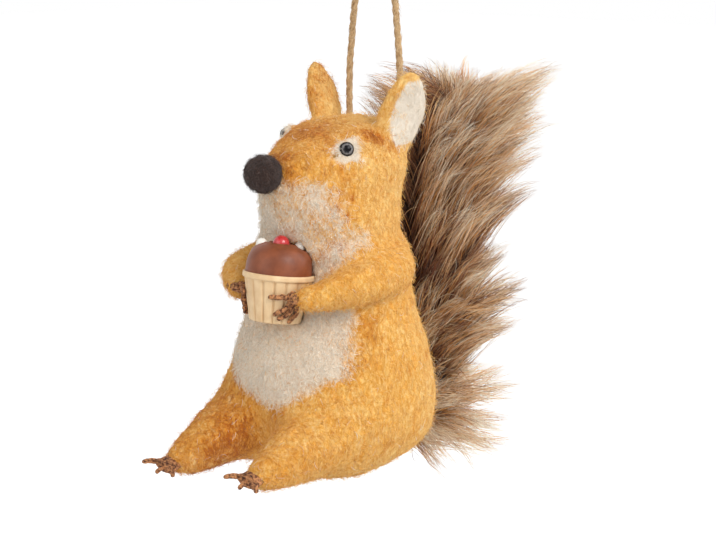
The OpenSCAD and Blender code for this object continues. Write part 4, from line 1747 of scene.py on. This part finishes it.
def fibre_tone(values: dict[str, Array], rng: Rng) -> Array:
    """Picks each fibre's row in the wool fibres' colours.

    Args:
        values: The colour layers at each fibre's root.
        rng: The source of chance.

    Returns:
        A tone from 0 to 1: the five rows are rust, deep, gold, pale and cream.
    """
    count = len(values["white"])
    draw = rng.uniform(size=count)
    # The fibres follow the deep and pale layers, so they carry their painted shade and painted light too.
    golden = 1 - values["deep"] * 1.1 + 0.5 * (draw - 0.5)
    row = np.digitize(golden, (0.15, 0.55, 0.95))
    row = np.where((row == 2) & (rng.uniform(size=count) < values["pale"] * 0.8), 3, row)
    creamy = rng.uniform(size=count) < np.clip(values["white"] * 1.15 + 0.02, 0, 0.97)
    row = np.where(creamy, 4, row)
    return (row + rng.uniform(0.25, 0.75, count)) / 5


def tidy_owners(faces: Array, owner: Array, count: int) -> Array:
    """Gives lone faces the owner that most of their corners see.

    Args:
        faces: The surface's faces.
        owner: The owner of each face.
        count: The number of points.

    Returns:
        The owners with fewer specks.
    """
    kinds = int(owner.max()) + 1
    for _ in range(3):
        votes = np.zeros((count, kinds))
        for corner in range(4):
            np.add.at(votes, (faces[:, corner], owner), 1)
        owner = votes[faces].sum(1).argmax(1)
    return owner


def closed(shell: Shell) -> tuple[Shell, int]:
    """Closes a shell's open edges with a fan behind them.

    Args:
        shell: A shell of four-cornered faces.

    Returns:
        The closed shell, and how many points were added.
    """
    faces = shell.faces[0]
    edges = np.vstack([faces[:, [k, (k + 1) % 4]] for k in range(4)])
    key = {tuple(e) for e in edges.tolist()}
    rim = np.array([e for e in edges.tolist() if (e[1], e[0]) not in key])
    if not len(rim):
        return shell, 0
    parent = {int(v): int(v) for v in np.unique(rim)}

    def root(v: int) -> int:
        """The first point of the loop that v is in.

        Args:
            v: The point's number.

        Returns:
            The first point's number.
        """
        while parent[v] != v:
            v = parent[v]
        return v

    for a, b in rim.tolist():
        parent[root(a)] = root(b)
    loops: dict[int, list] = {}
    for a, b in rim.tolist():
        loops.setdefault(root(a), []).append((a, b))
    points, caps = [shell.points], []
    total = len(shell.points)
    for pairs in loops.values():
        own = sorted({v for pair in pairs for v in pair})
        new = {v: total + i for i, v in enumerate(own)}
        hub = total + len(own)
        points += [shell.points[own], shell.points[own].mean(0)[None]]
        caps += [(new[b], new[a], hub) for a, b in pairs]
        total = hub + 1
    return Shell(np.vstack(points), [faces, np.array(caps)]), total - len(shell.points)


# Nose, eyes, hands and feet


@dataclass
class Face:
    """The felt ball nose and the glass eyes."""

    nose: tuple = (0.0, -31.255, 85.35)
    nose_radius: float = 4.8
    nose_hairs: int = 1900
    eyes: dict = field(
        default_factory=lambda: {Side.LEFT: (11.5, -11.515, 90.7), Side.RIGHT: (-10.3, -10.615, 92.7)}
    )
    eye_radius: float = 2.0

    def nose_ball(self) -> Shell:
        """The nose, a lumpy felt ball.

        Returns:
            The ball's skin.
        """
        way = ball_ways(60, 90)
        flat = way.reshape(-1, 3) * self.nose_radius
        lumps = 0.14 * noise(flat, 2.6, 61) + 0.09 * noise(flat, 1, 62)
        size = self.nose_radius + lumps.reshape(way.shape[:2])
        return skinned(np.array(self.nose) + way * size[..., None])

    def nose_fibres(self, rng: Rng) -> Shell:
        """Loose fibres on the nose.

        Args:
            rng: The source of random numbers.

        Returns:
            The fibres.
        """
        up = unit(rng.normal(size=(self.nose_hairs, 3)))
        start = np.array(self.nose) + up * self.nose_radius
        paths, widths = fibre_paths(start, up, rng)
        paths = start[:, None] + (paths - start[:, None]) * 0.7
        return strands(paths, widths * 1.1, rng.uniform(0, 1, self.nose_hairs), rng)

    def eyeball(self, side: Side) -> Shell:
        """One glass eye, a round bead."""
        return skinned(np.array(self.eyes[side]) + ball_ways(40, 56) * self.eye_radius)

    def build(self, finishes: dict[str, Material]) -> None:
        """Makes the nose and the eyes.

        Args:
            finishes: The finishes by name: nose, nose_fibre, eye_left and eye_right.
        """
        rng = np.random.default_rng(17)
        made("nose_felt", self.nose_ball(), finishes["nose"], "nose")
        made("nose_fibres", self.nose_fibres(rng), finishes["nose_fibre"])
        for side in Side:
            node = f"eye_{side.word}"
            made(f"{node}_bead", self.eyeball(side), finishes[node], node)

    def outward(self, side: Side) -> Array:
        """The direction that an eye looks in."""
        return unit(np.array([side.value * 0.72, -0.66, 0.2]))


@dataclass
class Paws:
    """The hands and feet of paper-wrapped wire."""

    cupcake: Cupcake
    finger: float = 1.7
    ankle: tuple = (15.0, -49.0, 12.0)
    ankle_drop: float = 2.4
    foot_length: float = 10.0
    foot_roll: float = 20.0

    def digit(self, points: list, thick: float, thin: float, seed: int) -> Shell:
        """A finger or toe: a bent rod wound with crumpled paper.

        Args:
            points: The points that it bends at.
            thick: Its diameter at the root.
            thin: Its diameter at the tip.
            seed: Picks its crumples.

        Returns:
            The closed rod.
        """
        path = eased(np.array(points, float), 14)
        kinks = [noise(path * [1, 1, 1.3], 1.1, seed + step) for step in (300, 400, 500)]
        path = path + 0.11 * thick * np.stack(kinks, 1)
        run = run_along(path)
        share = run / run[-1]
        sides = 14
        turn = np.arange(sides) / sides
        wind = np.abs(((run[:, None] / 1.15 + turn[None]) % 1) - 0.5) * 2
        radius = (thick + (thin - thick) * share)[:, None] / 2
        ring = np.stack([np.cos(turn * 6.283), np.sin(turn * 6.283), turn * 0], 1)
        spots = np.repeat(path, sides, 0) + np.tile(ring, (len(path), 1))
        crumple = noise(spots, 0.55, seed).reshape(len(path), sides)
        creases = np.abs(noise(spots * [1, 1, 0.6], 0.8, seed + 200)).reshape(len(path), sides)
        radius = radius * (0.88 + 0.14 * wind + 0.22 * crumple + 0.3 * creases)
        tip = np.sqrt(np.clip(1 - ((share - 0.93) / 0.07) ** 2, 0.02, 1))
        radius = radius * np.where(share > 0.93, tip, 1)[:, None]
        return swept(path, radius, sides, (0.31, 0.23, 0.92))

    def grip(self, turn: float, share: float) -> Array:
        """A point on the outside of the upright cup, by its turn towards the front and height.

        Args:
            turn: The turn in degrees.
            share: The height as a share of the cup's.

        Returns:
            The point.
        """
        height = share * self.cupcake.height
        radius = self.cupcake.radius(np.array(height)) + self.finger / 2 + 0.1
        a = math.radians(turn)
        return np.array([radius * math.cos(a), -radius * math.sin(a), height])

    def hand(self, side: Side) -> Shell:
        """One hand, whose four fingers lie round the cup.

        Args:
            side: The side that it is on.

        Returns:
            The hand as one shell.
        """
        tips = [(34, 0.58, 62, 0.56), (30, 0.36, 53, 0.2), (22, 0.28, 44, 0.11), (8, 0.265, 24, 0.06)]
        palm = self.grip(22, 0.6)
        flip = np.array([side.value, 1, 1])
        wrist = np.array(self.cupcake.wrist(side)) * flip
        shells = []
        for number, (turn, share, far_turn, far_share) in enumerate(tips):
            line = [palm, self.grip(turn, share), self.grip(far_turn, far_share)]
            line = self.cupcake.out(np.array(line) * flip)
            shells.append(self.digit(list(line), self.finger * 0.95, self.finger * 0.6, 70 + number))
        palm = self.cupcake.out((palm * flip)[None])[0]
        inner = wrist + unit(wrist - palm) * 2.6 + np.array([side.value * 0.6, 2.0, 0])
        line = [inner, wrist, palm, palm + (palm - wrist) * 0.35]
        return merged(shells + [self.digit(line, self.finger * 1.75, self.finger * 1.5, 77)])

    def foot(self, side: Side) -> Shell:
        """One foot: a crumpled pad with a long toe, two shorter ones and a heel toe.

        Args:
            side: The side that it is on.

        Returns:
            The foot as one shell.
        """
        reach = self.foot_length
        toe = self.finger * 1.15

        def at_turn(turn: float, length: float, height: float) -> Array:
            """A point of the upright foot, by its turn from straight ahead."""
            a = math.radians(turn)
            return np.array([length * math.sin(a), -length * math.cos(a), height])

        line = [at_turn(0, -1.6, 0), at_turn(0, reach * 0.2, 0), at_turn(2, reach * 0.6, 0)]
        pad = self.digit(line, 4.2, 6.6, 86)
        pad.points = pad.points * [1, 1, 0.5]
        shells = [pad]
        for number, (turn, share) in enumerate(((-28.0, 1.0), (2.0, 0.84), (30.0, 0.74))):
            far = reach * share
            line = [at_turn(turn * 0.7, reach * 0.3, 0), at_turn(turn, far * 0.75, 0)]
            line.append(at_turn(turn * 1.15, far, -toe * 0.4))
            shells.append(self.digit(line, toe, toe * 0.5, 80 + number))
        heel = [at_turn(14, reach * 0.4, 0), at_turn(20, reach * 0.3, -reach * 0.28)]
        shells.append(self.digit(heel, toe, toe * 0.5, 84))
        foot = merged(shells)
        drop = 0.0 if side is Side.LEFT else self.ankle_drop
        place = np.array(self.ankle) + [(side.value - 1) * self.ankle[0], 0, -drop]
        foot.points = turned(turned(foot.points, 6.0, 0), self.foot_roll, 1) + place
        return foot

    def build(self, paper: Material) -> None:
        """Makes both hands and both feet.

        Args:
            paper: The wrapped paper's finish.
        """
        for side in Side:
            for kind, shell in (("hand", self.hand(side)), ("foot", self.foot(side))):
                node = f"{kind}_{side.word}"
                made(f"{node}_wrapped", shell, paper, node)


# The tail


@dataclass(frozen=True)
class Tuft:
    """A pointed tuft of fur: the height of its roots, its reach from the tail's middle line, the
    height of its tip, and how far its hairs bow upwards as a share of their length."""

    root_z: float
    reach: float
    tip_z: float
    bow: float = 0.1


@dataclass
class FurTail:
    """The bushy tail: a dark inner form and hair in layered tufts."""

    core: tuple = (
        (0.5, 30.5, 0, 0), (3, 31.5, 5, 4), (8, 33.5, 8, 6.2), (20, 37, 9.5, 8.5),
        (36, 38.5, 10, 9.5), (54, 40, 11, 11), (72, 43, 11.5, 12.5),
        (84, 46, 10.5, 12), (93, 49, 7.5, 9), (98, 51, 0, 0),
    )
    tufts: tuple = (
        Tuft(3, 33, -2.5, -0.01), Tuft(5, 32, 4, 0), Tuft(10, 35.5, 16.5, 0.02),
        Tuft(16, 18, 20, 0.05), Tuft(23, 30.5, 36, 0.08), Tuft(29, 34.5, 44, 0.1),
        Tuft(38, 27, 56, 0.1), Tuft(51, 34, 73.5, 0.12), Tuft(58, 23, 77, 0.12),
        Tuft(66, 34, 85, 0.12), Tuft(74, 36, 94.5, 0.12), Tuft(80, 33.5, 100, 0.12),
        Tuft(86, 37.5, 108, 0.12), Tuft(88, 21, 103.5, 0.1), Tuft(90, 8, 102.5, 0),
    )
    columns: tuple = (-132, -112, -92, -72, -50, -32, -16, 0, 16, 32, 50, 72, 92, 112, 132)
    seen_column: float = 50.0
    locks: int = 8
    hairs: int = 12
    under_locks: int = 640
    under_hairs: int = 8
    hairs_a_piece: int = 5500
    back: tuple = (
        (-20, 18), (0, 22), (8, 25), (22, 27.5), (40, 26.5), (60, 24), (80, 23.5), (92, 22.5), (98, 21.5),
        (120, 21.5),
    )
    clear_y: float = 21.5
    lowest_z: float = -7.0
    crown_z: float = 84.0
    crown_top: float = 111.5
    crown_fall: float = 0.21
    far_column: float = -60.0
    far_crown_z: float = 70.0

    def core_form(self) -> Upright:
        """The inner form that the hair grows from."""
        return Upright([[z, y, wide, deep, 0] for z, y, wide, deep in self.core])

    def core_shell(self) -> Shell:
        """The inner form's lumpy skin.

        Returns:
            The closed skin.
        """
        form = self.core_form()
        rows = np.linspace(form.height[0] + 0.2, form.height[-1] - 0.2, 90)
        turn = around(56)
        middle, wide, deep = form.section(rows)
        x = 0.86 * wide[:, None] * np.sin(turn)
        y = middle[:, None] - 0.86 * deep[:, None] * np.cos(turn)
        rings = np.stack([x, y, np.repeat(rows[:, None], len(turn), 1)], -1)
        flat = rings.reshape(-1, 3)
        lumps = 0.6 * noise(flat, 4, 91) + 0.3 * noise(flat, 1.6, 92)
        centre = np.stack([0 * rows, middle, rows], 1)[:, None]
        return skinned(rings + unit(rings - centre) * lumps.reshape(rings.shape[:2])[..., None])

    def rooted(self, height: Array, turn: Array) -> Array:
        """Points on the inner form by height, and turn from straight back towards the left.

        Args:
            height: The heights.
            turn: The turns in degrees.

        Returns:
            The points.
        """
        form = self.core_form()
        height = np.clip(height, form.height[0] + 1.0, form.height[-1] - 1.5)
        a = np.radians(turn)
        middle, wide, deep = form.section(height)
        return np.stack([0.8 * wide * np.sin(a), middle + 0.8 * deep * np.cos(a), height], -1)

    def aimed(self, root_z: Array, turn: Array, reach: Array, height: Array) -> Array:
        """Tips at a reach from the tail's middle line at the height of their roots.

        Args:
            root_z: The roots' heights.
            turn: The turns in degrees.
            reach: The reaches.
            height: The tips' heights.

        Returns:
            The tips.
        """
        middle = self.core_form().section(root_z)[0]
        a = np.radians(turn)
        return np.stack([reach * np.sin(a), middle + reach * np.cos(a), height], -1)

    def kept_clear(self, paths: Array) -> Array:
        """Keeps hair off the squirrel's back and out of the twine's way.

        Args:
            paths: The hairs' paths.

        Returns:
            The paths, moved where they have to be.
        """
        z = paths[..., 2]
        out = paths.copy()
        out[..., 1] += np.maximum(np.interp(z, *zip(*self.back)) - paths[..., 1], 0)
        out[..., 2] = np.where(z < self.lowest_z, self.lowest_z + (z - self.lowest_z) * 0.2, z)
        return out

    def bundle(self, rng: Rng) -> tuple[Array, Array]:
        """All hairs of all tufts, and their tones.

        Args:
            rng: The source of chance.

        Returns:
            The hairs' paths of seven points, and their tones.
        """
        paths, tones = [], []
        level = np.random.default_rng(29)
        for column in self.columns:
            off = abs(column - self.seen_column)
            loose = blend_step(40, 95, off)
            front = blend_step(80, 130, abs(column))
            for tuft in self.tufts:
                shift = loose * rng.uniform(-8, 8)
                reach = tuft.reach * (1 - 0.35 * front) * rng.uniform(0.9, 1.03 if loose > 0.3 else 1.0)
                count = self.locks
                if off < 60 and tuft.root_z < 22:
                    count = count // 2 if tuft.root_z < 12 else count * 2 // 3
                turn = column + rng.normal(size=count) * (5.0 if tuft.reach > 27 else 8.0)
                far = reach * (1 - np.abs(rng.normal(size=count)) * 0.13)
                far[:2] = reach
                height = tuft.tip_z + shift + rng.normal(size=count) * 1.7 - (reach - far) * 0.25
                spun = turn * (1 + 0.3 * front) + rng.normal(size=count) * 9
                root_z = tuft.root_z + shift + rng.uniform(-4.5, 4.5, count)
                root = self.rooted(root_z, np.clip(spun, -172, 172))
                tip = self.aimed(np.full(count, tuft.root_z), turn, far, height)
                crown = tuft.root_z > self.crown_z
                far_crown = column < self.far_column and tuft.root_z > self.far_crown_z
                if abs(column) > 125 and crown:
                    tip[:, 1] = np.maximum(tip[:, 1], self.clear_y + rng.uniform(0, 4, count))
                    tip[:, 2] -= 9.0
                elif far_crown:
                    tip[:, 2] -= 5.0
                    tip[:, 0] *= 0.95
                if crown:
                    beyond = np.minimum(0.643 * tip[:, 0] - 0.766 * tip[:, 1] + 37.5, 0)
                    top = self.crown_top + self.crown_fall * beyond + level.uniform(-2.5, 2.0, count)
                    tip[:, 2] = np.minimum(tip[:, 2], top)
                lock, tone = self.lock_hairs(root, tip, tuft.bow, self.hairs, rng)
                paths.append(lock)
                tones.append(tone * 0.4 if far_crown else tone)
        return self.kept_clear(np.concatenate(paths)), np.concatenate(tones)

    def lock_hairs(self, root: Array, tip: Array, bow: float, per: int, rng: Rng) -> tuple[Array, Array]:
        """Hairs that run from each root to its tip and draw together there.

        Args:
            root: The locks' roots.
            tip: The locks' tips.
            bow: How far they bow upwards, as a share of their length.
            per: The number of hairs in a lock.
            rng: The source of chance.

        Returns:
            The hairs' paths, and their tones.
        """
        count = len(root) * per
        start = np.repeat(root, per, 0) + rng.normal(size=(count, 3)) * 1.5
        end = np.repeat(tip, per, 0)
        span = np.repeat(np.linalg.norm(tip - root, axis=1), per)[:, None]
        share = 1 - np.abs(rng.normal(size=count)) * 0.17
        end = start + (end - start) * np.clip(share, 0.45, 1.03)[:, None] + rng.normal(size=(count, 3)) * (
            0.55 + 1.6 * (1 - np.clip(share, 0.45, 1))[:, None]
        )
        bend = np.repeat(rng.normal(size=(len(root), 3)) * 0.06, per, 0) + rng.normal(size=(count, 3)) * 0.04
        elbow = start + (end - start) * 0.5 + bend * span + np.array([0, 0, 2 * bow]) * span
        steps = np.linspace(0, 1, 7)[None, :, None]
        paths = start[:, None] * (1 - steps) ** 2 + 2 * elbow[:, None] * steps * (1 - steps)
        paths = paths + end[:, None] * steps**2
        wave = rng.normal(size=(count, 1, 3)) * 0.25
        paths = paths + wave * np.sin(steps * np.pi * 2.3)
        lean = np.repeat(rng.normal() * 0.1 + rng.normal(size=len(root)) * 0.26, per)
        height = np.repeat(root[:, 2], per)
        mean = 0.48 + 0.22 * blend_step(36, 14, height) + 0.18 * blend_step(60, 78, height)
        tone = np.clip(mean + lean + rng.normal(size=count) * 0.24, 0.01, 0.99)
        return paths, tone

    def under_hair(self, rng: Rng) -> tuple[Array, Array]:
        """Shorter, darker hair between the tufts, and its tones.

        Args:
            rng: The source of chance.

        Returns:
            The hairs' paths of seven points, and their tones.
        """
        count, per = self.under_locks, self.under_hairs
        height = rng.uniform(2.0, 97.0, count)
        turn = rng.uniform(-125, 125, count)
        root = self.rooted(height, turn * 1.3)
        roots = [tuft.root_z for tuft in self.tufts]
        rise = np.interp(height, roots, [tuft.tip_z - tuft.root_z for tuft in self.tufts])
        reach = rng.uniform(14.0, 20.0, count) * (1 - 0.3 * blend_step(80, 112, np.abs(turn)))
        tip = self.aimed(height, turn, reach, height + rise * 0.55 + rng.normal(size=count) * 3)
        paths, tone = self.lock_hairs(root, tip, 0.05, per, rng)
        light = 0.45 + 0.5 * blend_step(60, 30, np.repeat(height, per))
        return self.kept_clear(paths), tone * light

    def build(self, fur: Material, base: Material) -> None:
        """Makes the inner form and the hair.

        Args:
            fur: The hair's finish.
            base: The inner form's finish.
        """
        rng = np.random.default_rng(23)
        made("tail_fur_base", self.core_shell(), base, "tail_fur", Body.TAIL)
        long_paths, long_tones = self.bundle(rng)
        short_paths, short_tones = self.under_hair(rng)
        paths = np.concatenate([long_paths, short_paths])
        tones = np.concatenate([long_tones, short_tones])
        taper = np.array([1.0, 0.95, 0.88, 0.78, 0.62, 0.4])
        width = rng.uniform(0.06, 0.115, len(paths))[:, None] * taper[None]
        for number, first in enumerate(range(0, len(paths), self.hairs_a_piece)):
            part = slice(first, first + self.hairs_a_piece)
            hair = strands(paths[part], width[part], tones[part], rng)
            made(f"tail_hair_{number + 1:02d}", hair, fur, body=Body.TAIL)


# The finishes of the whole squirrel


@dataclass(frozen=True)
class EyeFinish:
    """A dark glass eye with a grey iris round its pupil."""

    name: str
    middle: tuple
    outward: tuple

    def material(self) -> Material:
        """Builds the material.

        Returns:
            The material.
        """
        material, tree, shader = finish_of(self.name, Roughness=0.08, Specular_IOR_Level=0.16)
        place = tree.place()
        way = tree.vector("NORMALIZE", tree.vector("SUBTRACT", place, self.middle))
        facing = tree.add("VectorMath", {"operation": "DOT_PRODUCT"}, i0=way, i1=self.outward)
        streak = tree.math("SUBTRACT", tree.noise(place, 2600.0, 2.0), 0.5)
        facing = tree.math("ADD", facing.outputs["Value"], tree.math("MULTIPLY", streak, 0.34))
        colour = tree.ramp(
            facing,
            [
                (0.0, srgb(14, 12, 12)), (0.58, srgb(18, 17, 17)), (0.67, srgb(76, 74, 74)),
                (0.79, srgb(126, 122, 120)), (0.86, srgb(68, 66, 68)), (0.9, srgb(12, 10, 14)),
                (1.0, srgb(6, 5, 9)),
            ],
        )
        tree.wire(shader, Base_Color=colour)
        return material


@dataclass(frozen=True)
class PaperFinish:
    """Brown crumpled paper, with painted shade in its creases."""

    name: str = "wrapped_paper"
    light: tuple = srgb(206, 142, 92)
    dark: tuple = srgb(78, 38, 20)

    def material(self, grain: Group) -> Material:
        """Builds the material.

        Args:
            grain: The wool grain group, which also gives the paper its fibres.

        Returns:
            The material.
        """
        material, tree, shader = finish_of(self.name, Roughness=0.85)
        given = tree.group(grain, Size=0.9, Run=1.0)
        cloud = tree.noise(tree.place(), 1500.0, 5.0)
        # The paper darkens with the same cloud that lowers its bump: painted shade in the creases.
        share = tree.math("MULTIPLY_ADD", tree.math("SUBTRACT", cloud, 0.5), 4.5, 0.38)
        share = tree.math("ADD", share, tree.math("MULTIPLY", given.outputs["Tone"], 0.35), clamp=True)
        height = tree.math("ADD", given.outputs["Height"], cloud)
        colour = tree.mixed(share, self.dark, self.light)
        tree.wire(shader, Base_Color=colour, Normal=tree.bump(height, 0.9, 0.0003))
        return material


@dataclass(frozen=True)
class FeltFinish:
    """Plain fibrous stuff in a light and a dark tone: the nose's felt, the twine and the underfur."""

    name: str
    light: tuple
    dark: tuple

    def material(self, grain: Group) -> Material:
        """Builds the material.

        Args:
            grain: The wool grain group.

        Returns:
            The material.
        """
        material, tree, shader = finish_of(
            self.name, Roughness=0.95, Specular_IOR_Level=0.15, Sheen_Weight=0.15
        )
        fine = tree.group(grain, Size=0.45, Run=1.0)
        colour = tree.mixed(fine.outputs["Tone"], self.dark, self.light)
        tree.wire(shader, Base_Color=colour, Normal=tree.bump(fine.outputs["Height"], 0.7, 0.00025))
        return material


TWINE_TONES = ((srgb(168, 128, 82),), (srgb(204, 166, 120),), (srgb(226, 196, 154),))
WOOL_TONES = (
    (srgb(172, 92, 26),), (srgb(208, 130, 38),), (srgb(236, 172, 76),), (srgb(247, 202, 120),),
    (srgb(248, 238, 222),),
)
NOSE_TONES = ((srgb(44, 30, 26),), (srgb(66, 48, 42),), (srgb(92, 70, 60),))
FUR_TONES = (
    (srgb(52, 27, 16), srgb(88, 48, 29), srgb(132, 82, 52), srgb(84, 46, 30)),
    (srgb(64, 34, 21), srgb(142, 88, 54), srgb(214, 158, 108), srgb(112, 66, 42)),
    (srgb(80, 45, 28), srgb(186, 132, 88), srgb(250, 214, 166), srgb(176, 120, 80)),
    (srgb(96, 56, 36), srgb(216, 168, 120), srgb(255, 236, 200), srgb(124, 76, 50)),
    (srgb(118, 66, 28), srgb(222, 152, 78), srgb(248, 200, 136), srgb(170, 112, 64)),
    (srgb(106, 66, 44), srgb(234, 198, 158), srgb(255, 246, 226), srgb(255, 242, 218)),
)


RESINS = {
    "cream": MouldedFinish("cream_resin", srgb(232, 202, 158), srgb(214, 178, 132), 0.5),
    "chocolate": MouldedFinish("chocolate_resin", srgb(138, 74, 43), srgb(112, 56, 30), 0.42, specular=0.36),
    "cherry": MouldedFinish("cherry_resin", srgb(206, 44, 48), srgb(184, 30, 38), 0.28, coat=0.5),
    "pearl": MouldedFinish("pearl_resin", srgb(244, 240, 230), srgb(232, 226, 214), 0.3, coat=0.3),
}
INSIDE = {
    "wire": MouldedFinish("florist_wire", srgb(176, 176, 178), srgb(140, 140, 144), 0.35, metallic=1.0),
    "thread": MouldedFinish("sewing_thread", srgb(172, 142, 106), srgb(134, 104, 72), 0.8, patch=0.6),
    "backing": MouldedFinish("woven_backing", srgb(158, 128, 98), srgb(116, 88, 64), 0.9, patch=0.8),
}


def dress_hidden(finishes: dict[str, Material]) -> None:
    """Gives the CAD nodes that stay their finishes.

    Args:
        finishes: The finishes by name: wire, thread and backing.
    """
    kinds = {"tail_thread": "thread", "tail_backing": "backing", "tail_wire": "wire"}
    for side in Side:
        kinds[f"arm_wire_{side.word}"] = "wire"
        kinds[f"leg_wire_{side.word}"] = "wire"
    for node, kind in kinds.items():
        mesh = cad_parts[node].data
        mesh.materials.clear()
        mesh.materials.append(finishes[kind])


def main() -> None:
    """Builds the studio and every part of the squirrel."""
    logging.basicConfig(level=logging.INFO, format="%(message)s")
    Studio().build()
    grain, wear = wool_grain(), soft_wear()
    fibre = HairFinish("wool_fibre", WOOL_TONES, 0.9, 0.2).material()
    twine = FeltFinish("jute_twine", srgb(226, 194, 150), srgb(170, 132, 88)).material(grain)
    HangingTwine().build(twine, HairFinish("jute_fibre", TWINE_TONES).material())
    cupcake = Cupcake()
    cupcake.build({name: finish.material(wear) for name, finish in RESINS.items()})
    FeltedBody(cupcake).build(WoolFinish().material(grain), fibre)
    face = Face()
    finishes = {
        "nose": FeltFinish("nose_felt", srgb(74, 55, 48), srgb(44, 31, 27)).material(grain),
        "nose_fibre": HairFinish("nose_fibre", NOSE_TONES).material(),
    }
    for side in Side:
        node = f"eye_{side.word}"
        middle, outward = tuple(placed(np.array(face.eyes[side]))), tuple(face.outward(side))
        finishes[node] = EyeFinish(f"glass_{node}", middle, outward).material()
    face.build(finishes)
    Paws(cupcake).build(PaperFinish().material(grain))
    FurTail().build(
        HairFinish("tail_fur", FUR_TONES, 0.6, 0.1).material(),
        FeltFinish("tail_underfur", srgb(74, 50, 36), srgb(36, 23, 17)).material(grain),
    )
    dress_hidden({name: finish.material(wear) for name, finish in INSIDE.items()})


if __name__ == "__main__":
    main()
